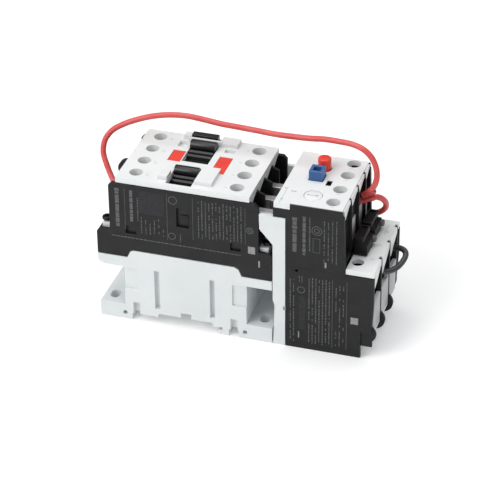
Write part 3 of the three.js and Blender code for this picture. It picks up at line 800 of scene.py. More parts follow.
def round_edges(work: bmesh.types.BMesh, reach: float) -> None:
    """Rounds a mesh's sharp edges; its flat faces stay flat and its curved ones turn smooth.

    Args:
        work: the mesh.
        reach: how far the rounding goes in from an edge, in the mesh's own units.
    """
    bends = {edge: edge.calc_face_angle(0.0) for edge in work.edges}
    limit = math.radians(SHARP_ANGLE)
    flat, curved, fillet = range(3)
    for face in work.faces:
        bent = any(LEAST_BEND < bends[edge] < limit for edge in face.edges)
        face.material_index = curved if bent else flat
    rounding = work.faces.layers.float.new(ROUNDING)
    bmesh.ops.bevel(
        work,
        geom=[edge for edge, bend in bends.items() if bend >= limit],
        offset=reach,
        segments=3,
        profile=0.5,
        affect="EDGES",
        clamp_overlap=True,
        material=fillet,
    )
    for face in work.faces:
        face.smooth = face.material_index != flat
        face[rounding] = float(face.material_index == fillet)
        face.material_index = 0


def length_of(line: Sequence[Vector]) -> float:
    """The length of a line of points."""
    return sum((b - a).length for a, b in zip(line, line[1:]))


@dataclass
class Bench:
    """Where the pieces are made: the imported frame, its datum and the ways to add to them."""

    frame: dict
    datum: Vector

    def at(self, x: float, y: float, z: float) -> Vector:
        """A place given in millimetres from the datum, in metres in the row frame."""
        return self.datum + Vector((x, y, z)) * MM

    def put(
        self,
        name: str,
        mesh: bpy.types.Mesh,
        finish: Finish,
        body: str,
        stands_for: Iterable[str] = (),
        shaded: bool = False,
    ) -> bpy.types.Object:
        """Puts a mesh in the scene as a dressed piece that rides on a body.

        Args:
            name: the piece's name.
            mesh: its mesh in the row frame.
            finish: what it is dressed in.
            body: the CAD body that carries it.
            stands_for: the CAD nodes that it replaces.
            shaded: True if its faces are marked smooth and flat already.

        Returns:
            The new piece.
        """
        mesh.materials.clear()
        mesh.materials.append(finish.material())
        if not shaded:
            mesh.shade_smooth()
            mesh.set_sharp_from_angle(angle=math.radians(SMOOTH_ANGLE))
        piece = bpy.data.objects.new(name, mesh)
        bpy.context.scene.collection.objects.link(piece)
        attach(piece, body)
        nodes = list(stands_for)
        if nodes:
            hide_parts(*nodes)
        LOG.info("%s rides on %s, %d faces", name, body, len(mesh.polygons))
        return piece

    def make(
        self,
        name: str,
        shape: Shape,
        finish: Finish,
        body: str = Body.ROOT.value,
        stands_for: Iterable[str] = (),
    ) -> bpy.types.Object:
        """Turns a shape into a dressed piece; the arguments are those of put."""
        return self.put(name, shape.mesh(name, self.datum), finish, body, stands_for)

    def carved(self, mesh: bpy.types.Mesh, cutter: Shape) -> bpy.types.Mesh:
        """Cuts a shape out of a mesh.

        Args:
            mesh: the mesh to cut.
            cutter: what is taken away.

        Returns:
            The mesh that is left.
        """
        blank = bpy.data.objects.new("blank", mesh)
        tool = bpy.data.objects.new("tool", cutter.mesh("tool", self.datum))
        for thing in (blank, tool):
            bpy.context.scene.collection.objects.link(thing)
        cut = blank.modifiers.new("cut", "BOOLEAN")
        cut.operation, cut.solver, cut.object = "DIFFERENCE", "EXACT", tool
        cut.use_self = True
        graph = bpy.context.evaluated_depsgraph_get()
        left = bpy.data.meshes.new_from_object(blank.evaluated_get(graph))
        for thing in (blank, tool):
            bpy.data.objects.remove(thing)
        return left

    def node_mesh(self, node: str) -> bpy.types.Mesh:
        """A copy of a CAD node's mesh."""
        return self.frame["nodes"][node].data.copy()

    def softened(
        self,
        node: str,
        finish: Finish,
        round_mm: float = 0.25,
        cutter: Shape | None = None,
        body: str = Body.ROOT.value,
    ) -> bpy.types.Object:
        """A moulded piece made from a CAD node: its flat faces are made whole and its edges rounded.

        Args:
            node: the CAD node that it stands for.
            finish: what it is dressed in.
            round_mm: how far the rounding reaches in from each edge.
            cutter: fine hollows to cut out of it first.
            body: the CAD body that carries it.

        Returns:
            The new piece.
        """
        mesh = self.node_mesh(node)
        if cutter is not None:
            mesh = self.carved(mesh, cutter)
        work = bmesh.new()
        work.from_mesh(mesh)
        bmesh.ops.remove_doubles(work, verts=work.verts, dist=WELD_MM * MM)
        bmesh.ops.dissolve_limit(
            work, angle_limit=math.radians(FLAT_ANGLE), verts=work.verts, edges=work.edges
        )
        round_edges(work, round_mm * MM)
        work.to_mesh(mesh)
        work.free()
        piece = self.put(f"{node}_moulded", mesh, finish, body, [node], shaded=True)
        return piece


# ------------------------------------------------------------------------------ studio


@dataclass
class Lamp:
    """A square soft box that faces the starter."""

    name: str
    place: Point
    width: float
    power: float
    tint: Colour = (1, 1, 1)

    def hang(self, aim: Vector) -> None:
        """Adds the lamp.

        Args:
            aim: the point that it faces, in the row frame.
        """
        data = bpy.data.lights.new(self.name, "AREA")
        data.shape, data.size, data.energy, data.color = "SQUARE", self.width, self.power, self.tint
        lamp = bpy.data.objects.new(self.name, data)
        lamp.location = self.place
        lamp.rotation_euler = (aim - Vector(self.place)).to_track_quat("-Z", "Y").to_euler()
        bpy.context.scene.collection.objects.link(lamp)


@dataclass
class Studio:
    """Camera, soft boxes and the pale floor. Angles are degrees and the camera's place is in
    millimetres from the datum."""

    camera_place: Point = (322.18, -794.50, 575.29)
    azimuth: float = 17.59
    elevation: float = 32.39
    roll: float = 0.51
    lens: float = 165.6
    sensor: float = 36.0
    floor_side: float = 8.0
    floor_gap: float = 0.02
    sky: float = 0.34
    sky_tint: Colour = (0.97, 0.985, 1.0)
    lamps: tuple[Lamp, ...] = (
        Lamp("key", (-0.85, -1.05, 1.15), 1.1, 14.5, (1.0, 0.995, 0.985)),
        Lamp("top", (0.0, 0.10, 1.6), 1.6, 17.5),
    )

    def build(self, bench: Bench) -> None:
        """Sets up the camera, the lamps, the sky and the floor."""
        self.set_camera(bench)
        low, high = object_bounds()
        for lamp in self.lamps:
            lamp.hang((low + high) / 2)
        world = bpy.data.worlds.new("studio")
        world.use_nodes = True
        sky = world.node_tree.nodes["Background"]
        sky.inputs["Color"].default_value = (*self.sky_tint, 1)
        sky.inputs["Strength"].default_value = self.sky
        bpy.context.scene.world = world
        bpy.context.scene.view_settings.view_transform = "Standard"
        self.lay_floor(low.z)
        LOG.info("studio is set: %d lamps, camera lens %.1f mm", len(self.lamps), self.lens)

    def set_camera(self, bench: Bench) -> None:
        """Places the camera and turns it to its angles."""
        az, el, roll = (math.radians(a) for a in (self.azimuth, self.elevation, self.roll))
        ahead = Vector((-math.sin(az) * math.cos(el), math.cos(az) * math.cos(el), -math.sin(el)))
        right = Vector((math.cos(az), math.sin(az), 0))
        down = ahead.cross(right)
        across = right * math.cos(roll) + down * math.sin(roll)
        below = down * math.cos(roll) - right * math.sin(roll)
        turn = Matrix((across, -below, -ahead)).transposed()
        data = bpy.data.cameras.new("camera")
        data.lens, data.sensor_width = self.lens, self.sensor
        data.clip_start, data.clip_end = 0.05, 20
        camera = bpy.data.objects.new("camera", data)
        camera.matrix_world = Matrix.Translation(bench.at(*self.camera_place)) @ turn.to_4x4()
        bpy.context.scene.collection.objects.link(camera)
        bpy.context.scene.camera = camera

    def lay_floor(self, height: float) -> None:
        """Lays the floor at the starter's underside.

        Args:
            height: the floor's height in metres.
        """
        mesh = bpy.data.meshes.new("floor")
        work = bmesh.new()
        bmesh.ops.create_grid(work, x_segments=8, y_segments=8, size=self.floor_side / 2)
        bmesh.ops.translate(work, verts=work.verts, vec=(0, 0, height - self.floor_gap * MM))
        work.to_mesh(mesh)
        work.free()
        mesh.materials.append(PAPER.material())
        floor = bpy.data.objects.new("floor", mesh)
        bpy.context.scene.collection.objects.link(floor)
        floor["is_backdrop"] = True


# ------------------------------------------------------------------------------ wires


@dataclass
class Lead:
    """One wire from terminal to terminal."""

    node: str
    finish: Finish
    slot: Slot
    route: tuple[Point, ...]
    length: float
    radius: float = 1.3

    def build(self, bench: Bench, ferrules: Sequence[bpy.types.Object] = ()) -> bpy.types.Object:
        """Args:
            bench: where it is made.
            ferrules: the pieces on it; not used.

        Returns:
            The wire.
        """
        line = [bench.at(*p) for p in smooth_route(self.route)]
        curve = bpy.data.curves.new(f"{self.node}_wire", "CURVE")
        curve.dimensions = "3D"
        spline = curve.splines.new("POLY")
        spline.points.add(len(line) - 1)
        for point, place in zip(spline.points, line):
            point.co = (*place, 1)
        curve.bevel_depth, curve.bevel_resolution = self.radius * MM, 5
        curve.use_fill_caps = True
        curve.materials.append(self.finish.material())
        wire = bpy.data.objects.new(f"{self.node}_wire", curve)
        bpy.context.scene.collection.objects.link(wire)
        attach(wire, Body.ROOT.value)
        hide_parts(self.node)
        LOG.info("%s: %.1f mm along its middle", wire.name, 1000 * length_of(line))
        return wire


@dataclass
class ControlWires:
    """The red and black wires that join the terminals, and the ferrules at their ends."""

    red_lead: Lead = field(
        default_factory=lambda: Lead(
            "red_lead",
            RED_PVC,
            Slot.RED_WIRE,
            (
                (4.4, 21, 50), (1.9, 22, 53.2), (-1.4, 24.5, 56.8), (-4.5, 27, 61.4),
                (-6.8, 29.3, 66.2), (-6.6, 31.6, 71.2), (-3.8, 33.4, 75.4), (1.2, 35, 78.6),
                (7.6, 36.6, 81.2), (14.6, 38, 83.2), (22, 39, 84.4), (29.4, 39.7, 84.6),
                (36.8, 40, 83.9), (45, 40, 83), (53.2, 40, 82.6), (61.6, 39.7, 82.4),
                (70, 39.3, 82.2), (78, 38.8, 82.6), (86, 38, 83.4), (93, 37.4, 84.4),
                (99.4, 36.6, 84.8), (105.6, 35.8, 84.8), (110.8, 34.8, 83.6),
                (114.6, 33.8, 80.8), (116.9, 32.8, 76.8), (117.6, 31.8, 72.4),
                (116.6, 31, 68.4), (114.3, 30.4, 65.3), (111.9, 30.1, 63.7),
            ),
            0.175,
        )
    )
    red_link: Lead = field(
        default_factory=lambda: Lead(
            "red_link",
            RED_PVC,
            Slot.RED_WIRE,
            (
                (108.8, 30.8, 60.2), (111.9, 31.2, 60.6), (114.6, 32.4, 61.6),
                (117.4, 34, 61.6), (119.6, 35.8, 59.8), (120.6, 37.4, 57), (120, 38.9, 53.8),
                (118, 40.2, 51), (115.4, 41.2, 49), (113.4, 41.8, 47.6),
            ),
            0.030,
        )
    )
    black_link: Lead = field(
        default_factory=lambda: Lead(
            "black_link",
            BLACK_PVC,
            Slot.BLACK_WIRE,
            (
                (119.4, 38, 33.2), (122.4, 38, 33.6), (124.8, 38, 34.6), (127, 37.4, 35.2),
                (129.3, 36, 35.6), (130.8, 34.2, 35.4), (131.2, 32, 34.6), (130.6, 29.8, 33.4),
                (129.4, 27.6, 32.2), (127.6, 25.4, 31.4), (125.4, 23.6, 31.2),
                (122.8, 22.4, 31.4), (120, 22.2, 31.6),
            ),
            0.032,
        )
    )
    collar_radius: float = 1.75
    collar_length: float = 5.4

    def build(self, bench: Bench) -> None:
        """Makes the wires and their collars."""
        upper = self.collar(bench, "red_ferrule_upper", self.red_lead.route[::-1], 0.6)
        lower = self.collar(bench, "red_ferrule_lower", self.red_link.route[1:], 0.0)
        self.red_lead.build(bench, [upper])
        self.red_link.build(bench, [lower])
        self.black_link.build(bench)

    def collar(
        self, bench: Bench, name: str, route: Sequence[Point], start: float
    ) -> bpy.types.Object:
        """A ferrule's plastic collar, which flares towards the wire.

        Args:
            bench: where it is made.
            name: the piece's name.
            route: the wire's points from the terminal outwards.
            start: how far from the first point the collar begins.

        Returns:
            The collar.
        """
        first, second = Vector(route[0]), Vector(route[1])
        along = (second - first).normalized()
        r, reach = self.collar_radius, self.collar_length
        profile = (
            (1.32, 0.0), (r * 0.80, 0.0), (r * 0.84, 0.15), (r * 0.86, reach * 0.40),
            (r * 0.97, reach * 0.52), (r, reach * 0.56), (r, reach - 0.3), (r * 0.95, reach),
            (1.32, reach),
        )
        shape = Shape().turned(profile, (0, 0, 0), sides=32)
        turn = along.to_track_quat("Z", "Y").to_matrix().to_4x4()
        shape.bm.transform(Matrix.Translation(first + along * start) @ turn)
        return bench.make(name, shape, FERRULE_RED)


# ------------------------------------------------------------------------------ contactor

POLES = (6.9, 17.6, 28.4, 39.2)  # y of the contactor's poles
AUX_ROWS = (6.9, 17.8, 30.1, 40.4)  # y of the relay's top terminals


@dataclass
class ContactorShell:
    """The white base, dark body and white cover of the contactor."""

    width: float = 45.0
    latch_slits: tuple[Flat, ...] = ((9.4, 24.4), (9.4, 35.2))
    pockets: tuple[Extent, ...] = (
        (13.5, 18.4, 45.0, 49.0),
        (61.3, 66.0, 44.7, 48.7),
        (37.1, 42.8, 52.3, 61.9),
    )
    pocket_depth: float = 1.2
    pocket_floor: float = 0.12
    pocket_gap: float = 0.04
    latch_block: Extent = (38.6, 42.6, 53.6, 58.2)
    block_inset: float = 0.45

    def build(self, bench: Bench) -> None:
        """Makes the three shells and the red inserts in the cover."""
        bench.softened("contactor_base", BASE_WHITE, 0.35)
        bench.softened("contactor_body", DARK, 0.3)
        bench.softened("contactor_cover", WHITE, 0.3, self.cover_slits())
        bench.softened("red_insert_left", RED, 0.12)
        bench.softened("red_insert_right", RED, 0.12)
        self.line_pockets(bench)

    def line_pockets(self, bench: Bench) -> None:
        """Dresses the side wall's blind pockets: near-black floors that paint the shade in them, and a
        block in the middle one.
        """
        floors, blocks = Shape(), Shape()
        deep, far = self.pocket_depth, self.width - self.pocket_depth
        thick, gap = self.pocket_floor, self.pocket_gap
        for x0, x1, z0, z1 in self.pockets:
            for y0, y1 in ((deep - thick, deep), (far, far + thick)):
                floors.block((x0 + gap, y0, z0 + gap), (x1 - gap, y1, z1 - gap), 0.05)
        x0, x1, z0, z1 = self.latch_block
        for y0, y1 in ((self.block_inset, deep), (far, self.width - self.block_inset)):
            blocks.block((x0, y0, z0), (x1, y1, z1), 0.25, 3)
        bench.make("pocket_shade_floors", floors, PAINTED_SHADE_PIT)
        bench.make("pocket_blocks", blocks, DARK)

    def cover_slits(self) -> Shape:
        """Cutters for the small slits in the cover's line edge."""
        slits = Shape()
        for x, y in self.latch_slits:
            slits.block((x - 0.5, y - 0.5, 71.3), (x + 1.0, y + 0.5, 73.5), 0)
        return slits


@dataclass
class AccessoryRail:
    """The black tray, rollers and tab that add-on blocks hook onto, and the contact carrier."""

    rib_radius: float = 1.05
    tray_x: Flat = (32.3, 43.0)
    tray_ribs: tuple[Flat, ...] = ((11.0, 70.6), (8.9, 69.7))
    tray_ledge: tuple[Flat, Flat] = ((2.5, 7.8), (66.1, 69.0))
    head_x: Flat = (32.8, 44.1)
    head_ribs: tuple[Flat, ...] = ((31.3, 71.9), (29.2, 71.0))
    head_ledge: tuple[Flat, Flat] = ((22.2, 28.1), (66.3, 70.2))

    def build(self, bench: Bench) -> None:
        """Makes the fixed rail and the moving carrier."""
        tray = self.ribbed(self.tray_x, self.tray_ribs, self.tray_ledge)
        bench.make("tray_ribs", tray, BLACK)
        head = self.ribbed(self.head_x, self.head_ribs, self.head_ledge)
        bench.make("carrier_ribs", head, BLACK, Body.CARRIER.value)
        bench.softened("accessory_rail", BLACK, 0.2)
        bench.softened("contact_carrier", BLACK, 0.2, body=Body.CARRIER.value)
        bench.softened("rail_clip", BLACK, 0.2, body=Body.CLIP.value)

    def ribbed(
        self, across: Flat, ribs: Sequence[Flat], ledge: tuple[Flat, Flat]
    ) -> Shape:
        """A flight of round-topped ribs that steps down from a roller to a ledge.

        Args:
            across: where the ribs start and end in x.
            ribs: y and z of each rib's axis.
            ledge: the ledge's ends in y, and its foot and top.

        Returns:
            The ribs on their risers, and the ledge.
        """
        (x0, x1), r = across, self.rib_radius
        (y0, y1), (foot, top) = ledge
        flight = Shape().block((x0, y0, foot), (x1, y1, top), 0.2, 3)
        for y, z in ribs:
            flight.block((x0, y - r, foot), (x1, y + r, z), 0)
            bar = [(0, x0), (r - 0.1, x0), (r, x0 + 0.1), (r, x1 - 0.1), (r - 0.1, x1), (0, x1)]
            flight.turned(bar, (0, y, z), Axis.X, 32)
        return flight


@dataclass
class Magnet:
    """The coil, cores and return spring."""

    spring_turns: float = 6.5
    spring_steps: int = 240
    spring_radius: float = 2.7
    spring_wire: float = 0.45
    spring_foot: float = 18.4
    spring_top: float = 38.0
    centre: Flat = (40.0, 22.5)
    stroke: float = 4.0

    def build(self, bench: Bench) -> None:
        """Makes the magnet's pieces."""
        bench.softened("fixed_core", LAMINATED, 0.2)
        bench.softened("armature_core", LAMINATED, 0.2, body=Body.CARRIER.value)
        bench.softened("coil", WINDING, 0.25)
        self.spring(bench)

    def spring(self, bench: Bench) -> None:
        """The return spring, with closed turns at each end."""
        steps = self.spring_steps
        height = self.spring_top - self.spring_foot - 2 * self.spring_wire
        path = []
        for i in range(steps + 1):
            share = i / steps
            angle = 2 * math.pi * self.spring_turns * share
            rise = self.eased(share)
            path.append(
                Vector(
                    (
                        self.centre[0] + self.spring_radius * math.cos(angle),
                        self.centre[1] + self.spring_radius * math.sin(angle),
                        self.spring_foot + self.spring_wire + height * rise,
                    )
                )
            )
        piece = bench.make(
            "return_spring_coiled",
            Shape().swept(path, self.spring_wire, 8),
            SPRING_WIRE,
            stands_for=["return_spring"],
        )
        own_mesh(piece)

    def eased(self, share: float) -> float:
        """How far up the spring's wire has climbed: slower in the closed turns at each end."""
        closed = 1 / self.spring_turns
        if share < closed:
            return 0.35 * share * share / closed
        if share > 1 - closed:
            return 1 - 0.35 * (1 - share) ** 2 / closed
        low, high = 0.35 * closed, 1 - 0.35 * closed
        return low + (high - low) * (share - closed) / (1 - 2 * closed)


@dataclass
class ContactSet:
    """Bridges, terminal strips, silver tips and the clamp plates under the screws."""

    line_screw_x: float = 16.9
    load_screw_x: float = 62.6
    foot_top: float = 51.3
    bridge_under: float = 55.6
    tip_x: Flat = (30.2, 49.8)
    tip: float = 0.13
    clamp: float = 3.1
    clamp_z: Flat = (62.0, 63.6)

    def build(self, bench: Bench) -> None:
        """Makes the contacts of every pole."""
        for i in range(1, len(POLES) + 1):
            bench.softened(
                f"contact_bridge_{i}", COPPER, 0.12, body=Body.CARRIER.value
            )
            bench.softened(f"line_contact_{i}", TINNED, 0.12)
            bench.softened(f"load_contact_{i}", TINNED, 0.12)
        fixed, moving = Shape(), Shape()
        for y in POLES:
            for x in self.tip_x:
                fixed.turned(self.button(), (x, y, self.foot_top), sides=24)
                moving.turned(self.button(-1), (x, y, self.bridge_under), sides=24)
        bench.make("fixed_tips", fixed, SILVER)
        bench.make("moving_tips", moving, SILVER, Body.CARRIER.value)
        for name, x in (("line", self.line_screw_x), ("load", self.load_screw_x)):
            bench.make(f"{name}_clamp_plates", self.clamps(x), ZINC)

    def button(self, way: int = 1) -> list[Flat]:
        """A contact tip's profile, domed up for way 1 and down for -1."""
        rise = [(0, -0.05), (1.5, -0.05), (1.5, 0.05), (1.2, self.tip * 0.8), (0, self.tip)]
        return rise if way > 0 else [(r, -h) for r, h in reversed(rise)]

    def clamps(self, x: float) -> Shape:
        """The square clamp plates of one row of screws, with turned-down ears.

        Args:
            x: where the row of screws is.

        Returns:
            The plates' shape.
        """
        plates = Shape()
        half, (low, high) = self.clamp, self.clamp_z
        for y in POLES:
            ring = [(1.7, low + 0.5), (half, low + 0.5), (half, high), (1.7, high)]
            plates.turned(ring, (x, y, 0), sides=4)
            for side in (-1, 1):
                edge = y + side * (half - 0.35)
                plates.block((x - half, edge - 0.35, low), (x + half, edge + 0.35, high), 0.12)
        return plates


@dataclass
class ScrewKind:
    """The make of one row of screws: a pan head with a straight slot and a short cross."""

    row: str
    count: int
    finish: Finish
    head: float = 2.6
    dome: float = 0.35
    slot_width: float = 0.8
    slot_depth: float = 1.1
    cross: float = 1.25
    sink: float = 0.0
    head_height: float = 2.4
    shank: float = 1.45
    pitch: float = 0.7

    def build(self, bench: Bench) -> None:
        """Makes every screw of the row."""
        for i in range(1, self.count + 1):
            self.screw(bench, f"{self.row}_{i}")

    def screw(self, bench: Bench, node: str) -> None:
        """Makes one screw in its node's place.

        Args:
            bench: where it is made.
            node: the CAD node that it stands for.
        """
        low, high = ((v - bench.datum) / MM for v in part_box(node))
        x, y = (low.x + high.x) / 2, (low.y + high.y) / 2
        r, top = self.head, high.z - self.sink
        under = top - self.head_height
        threads = self.thread(low.z, under, self.shank)
        head = [
            (r * 0.94, under), (r, under + 0.15), (r, top - self.dome - 0.25),
            (r * 0.985, top - self.dome), (r * 0.93, top - self.dome * 0.5),
            (r * 0.84, top - self.dome * 0.16), (r * 0.7, top), (0, top),
        ]
        blank = Shape().turned([(0, low.z), *threads, *head], (x, y, 0), sides=40)
        half, deep = self.slot_width / 2, top - self.slot_depth
        cutter = Shape().block((x - r - 1, y - half, deep), (x + r + 1, y + half, top + 1), 0)
        arm = half * 0.9
        cutter.block((x - arm, y - self.cross, deep + 0.2), (x + arm, y + self.cross, top + 2), 0)
        mesh = bench.carved(blank.mesh(node, bench.datum), cutter)
        bench.put(f"{node}_turned", mesh, self.finish, node, [node])

    def thread(self, foot: float, under: float, radius: float) -> list[Flat]:
        """The rings of a screw's shank, which rise and fall like its thread.

        Args:
            foot: the shank's lower end.
            under: the underside of the head.
            radius: the shank's outer radius.

        Returns:
            Radius and height pairs up to the underside of the head.
        """
        rings: list[Flat] = [(radius * 0.7, foot)]
        pitch = self.pitch
        turns = max(1, int((under - foot - 0.6) / pitch))
        for i in range(turns):
            base = foot + 0.2 + i * pitch
            rings += [(radius * 0.86, base), (radius, base + pitch / 2)]
        rings += [(radius * 0.86, foot + 0.2 + turns * pitch), (radius * 0.86, under)]
        return rings


# ------------------------------------------------------------------------------ relay


@dataclass
class OverloadShell:
    """The white frame, dark housing and white plates of the overload relay."""

    pin_hole: Flat = (91.1, 39.9)
    strip_notch: Extent = (85.1, 86.6, 18.4, 20.4)
    seam_x: float = 83.3
    cap_steps: Point = (112.9, 117.2, 118.9)
    cap_levels: Flat = (49.4, 53.0)
    nub_inset: float = 1.6
    nub_z: float = 47.6
    nub_radius: float = 1.5
    # Pale grey plates that paint shade on the wall behind the caps and on the sills' right faces.
    backing_y: tuple[Flat, ...] = ((13.0, 23.1), (24.7, 34.4), (36.0, 43.0))
    backing_x: Flat = (110.25, 110.8)
    backing_z: Flat = (46.9, 58.2)
    facing_y: tuple[Flat, ...] = ((2.3, 12.4), (15.0, 26.4), (29.0, 39.6))
    facing_x: Flat = (125.1, 125.28)
    facing_z: Flat = (13.2, 27.6)
    test_window: tuple[Flat, Flat, Flat] = ((98.0, 100.4), (19.4, 23.8), (70.4, 72.1))
    lining: float = 0.15

    def build(self, bench: Bench) -> None:
        """Makes the relay's shells, caps and the bars that plug into the contactor."""
        bench.softened("overload_frame", BASE_WHITE, 0.3, self.frame_notch())
        bench.softened("overload_housing", DARK, 0.3, self.housing_holes())
        bench.softened("overload_cover", WHITE, 0.25, self.cover_seam())
        bench.softened("overload_terminal_cover", WHITE, 0.25)
        for i in (1, 2):
            self.cap(bench, i)
        for i in (1, 2, 3):
            bench.softened(f"link_bar_{i}", TINNED, 0.2)
            bench.softened(f"bimetal_{i}", COPPER, 0.12)
        self.shaded_sides(bench)
        self.shade_plates(bench)
        self.window_shade_lining(bench)

    def window_shade_lining(self, bench: Bench) -> None:
        """Near-black walls inside the test slider's window, which paint the shade in it."""
        (x0, x1), (y0, y1), (z0, z1) = self.test_window
        t = self.lining
        walls = Shape().block((x0, y0, z0), (x0 + t, y1, z1), 0)
        walls.block((x1 - t, y0, z0), (x1, y1, z1), 0)
        walls.block((x0 + t, y0, z0), (x1 - t, y0 + t, z1), 0)
        walls.block((x0 + t, y1 - t, z0), (x1 - t, y1, z1), 0)
        bench.make("test_window_shade_lining", walls, PAINTED_SHADE_PIT)

    def frame_notch(self) -> Shape:
        """Cutter for the notch low in the frame's near strip."""
        x0, x1, z0, z1 = self.strip_notch
        return Shape().block((x0, -1, z0), (x1, 0.9, z1), 0)

    def housing_holes(self) -> Shape:
        """Cutters for the pin hole and the joint line across the near wall."""
        x, z = self.pin_hole
        pin = Shape().turned([(0, -1), (0.75, -1), (0.75, 1.2), (0, 1.2)], (x, 0, z), Axis.Y, 20)
        return pin.block((86.0, -1, 41.2), (112.0, 0.12, 41.42), 0)

    def cover_seam(self) -> Shape:
        """Cutters for the seam and the small notches at the cover's near line corner."""
        seam = Shape().block((self.seam_x - 0.12, -1, 72.2), (self.seam_x + 0.12, 14.0, 73.5), 0)
        seam.block((83.0, 3.2, 71.6), (84.1, 4.1, 73.5), 0)
        return seam.block((82.1, 12.2, 71.7), (83.0, 13.0, 73.5), 0)

    def cap(self, bench: Bench, i: int) -> None:
        """A black stepped terminal cap with a sunk face, and its round grey nub.

        Args:
            bench: where it is made.
            i: the cap's number.
        """
        node = f"terminal_cap_{i}"
        low, high = ((v - bench.datum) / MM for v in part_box(node))
        (back, face, step), (shoulder, top) = self.cap_steps, self.cap_levels
        y0, y1, nub_y = low.y, high.y, high.y - self.nub_inset
        body = Shape().block((back, y0, low.z), (step, y1, shoulder), 0.35, 3)
        body.block((back, y0, shoulder - 1), (face, y1, top), 0.5, 4)
        body.block((back, y0 + 0.5, shoulder - 1), (face + 0.5, y1 - 3.4, top - 3.0), 0.35, 3)
        sunk = Shape().block((back + 1, y0 + 1.3, top - 0.7), (face - 0.9, y1 - 1.3, top + 1), 0)
        sunk.block((face - 0.25, y0 - 1, top - 2.7), (face + 1, y1 + 1, top - 2.3), 0)
        mesh = bench.carved(body.mesh(node, bench.datum), sunk)
        bench.put(f"{node}_moulded", mesh, CAP_BLACK, Body.ROOT.value, [node])
        r, end = self.nub_radius, high.x
        nub = [
            (0, step - 0.8), (r, step - 0.8), (r, end - 0.25), (r - 0.25, end), (r - 0.6, end),
            (r - 0.75, end - 0.3), (0, end - 0.35),
        ]
        shape = Shape().turned(nub, (0, nub_y, self.nub_z), Axis.X, 32)
        bench.make(f"{node}_nub", shape, GREY)

    def shade_plates(self, bench: Bench) -> None:
        """Pale grey plates whose grey is painted shade: on the white wall behind the caps, and as
        facings on the right faces of the white wire sills.
        """
        backing_x, backing_z = self.backing_x, self.backing_z
        facing_x, facing_z = self.facing_x, self.facing_z
        plates = Shape()
        for y0, y1 in self.backing_y:
            plates.block((backing_x[0], y0, backing_z[0]), (backing_x[1], y1, backing_z[1]), 0.15)
        bench.make("terminal_shade_plates", plates, PAINTED_SHADE_GREY)
        facings = Shape()
        for y0, y1 in self.facing_y:
            facings.block((facing_x[0], y0, facing_z[0]), (facing_x[1], y1, facing_z[1]), 0.04)
        bench.make("sill_shade_facings", facings, PAINTED_SHADE_GREY)

    def shaded_sides(self, bench: Bench) -> None:
        """Grey strips along both sides of the link bars from the relay, which paint the shade on the
        bars' sides below their lit metal tops.
        """
        shade_strips = Shape()
        for i in (1, 2, 3):
            low, high = ((v - bench.datum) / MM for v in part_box(f"link_bar_{i}"))
            y0, y1, z0, z1 = low.y - 0.35, high.y + 0.35, low.z - 0.4, high.z - 0.5
            shade_strips.block((74.4, y0, z0), (86.2, low.y - 0.02, z1), 0.1)
            shade_strips.block((74.4, high.y + 0.02, z0), (86.2, y1, z1), 0.1)
        bench.make("link_shaded_sides", shade_strips, GREY)


@dataclass
class OverloadControls:
    """The stop and reset buttons, the current dial and the test slider."""

    stop: Flat = (94.0, 33.0)
    stop_radius: float = 2.9
    dial: Flat = (95.5, 10.0)
    dial_radius: float = 3.9
    dial_top: float = 72.5
    ticks: int = 9

    def build(self, bench: Bench) -> None:
        """Makes the controls."""
        self.stop_button(bench)
        bench.softened("reset_button", BLUE, 0.25, body=Body.RESET.value)
        self.current_dial(bench)
        bench.softened("test_slider", BLACK, 0.12, body=Body.TEST.value)

    def stop_button(self, bench: Bench) -> None:
        """The round red button, dished on top."""
        low, high = ((v - bench.datum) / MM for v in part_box("stop_button"))
        r, top = self.stop_radius, high.z
        profile = [
            (0, low.z), (1.7, low.z), (1.8, low.z + 0.2), (1.8, 68), (r - 0.15, 68), (r, 68.2),
            (r, top - 0.7), (r - 0.06, top - 0.42), (r - 0.22, top - 0.18), (r - 0.5, top - 0.03),
            (r - 0.8, top), (r - 1.4, top - 0.06), (0, top - 0.22),
        ]
        shape = Shape().turned(profile, (*self.stop, 0), sides=64)
        bench.make(
            "stop_button_round", shape, RED, Body.STOP.value, ["stop_button"]
        )

    def current_dial(self, bench: Bench) -> None:
        """The setting dial with an arrow-headed slot, and the ticks round it on the cover."""
        low, _ = ((v - bench.datum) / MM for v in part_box("current_dial"))
        r, top = self.dial_radius, self.dial_top
        profile = [
            (0, low.z), (1.6, low.z), (1.6, 70.2), (r, 70.2), (r, top - 0.3), (r - 0.08, top - 0.1),
            (r - 0.25, top), (0, top),
        ]
        x, y = self.dial
        blank = Shape().turned(profile, (x, y, 0), sides=64)
        cutter = Shape().block((x - 2.6, y - 0.4, top - 0.9), (x + 2.2, y + 0.4, top + 1), 0)
        cutter.prism([(x + 1.3, y - 1.1), (x + 3.0, y), (x + 1.3, y + 1.1)], Axis.Z, top - 0.6, top + 1)
        mesh = bench.carved(blank.mesh("dial", bench.datum), cutter)
        bench.put(
            "current_dial_turned", mesh, WHITE, Body.DIAL.value, ["current_dial"]
        )
        ticks = Shape()
        for i in range(self.ticks):
            angle = math.radians(-135 + 270 * i / (self.ticks - 1) + 180)
            away = Vector((math.cos(angle), math.sin(angle), 0))
            tick = Shape().block((4.7, -0.12, top - 0.02), (5.5, 0.12, top + 0.02), 0)
            tick.bm.transform(
                Matrix.Translation((x, y, 0)) @ away.to_track_quat("X", "Z").to_matrix().to_4x4()
            )
            copied = bpy.data.meshes.new("tick")
            tick.bm.to_mesh(copied)
            tick.bm.free()
            ticks.bm.from_mesh(copied)
        bench.make("dial_ticks", ticks, MARK_INK)


# ------------------------------------------------------------------------------ markings


@dataclass(frozen=True)
class PrintColumn:
    """Vertical columns of short dashes that stand for small print on a near wall."""

    x0: float
    x1: float
    z0: float
    z1: float
    pitch: float
    width: float
    dash: float
    fill: float


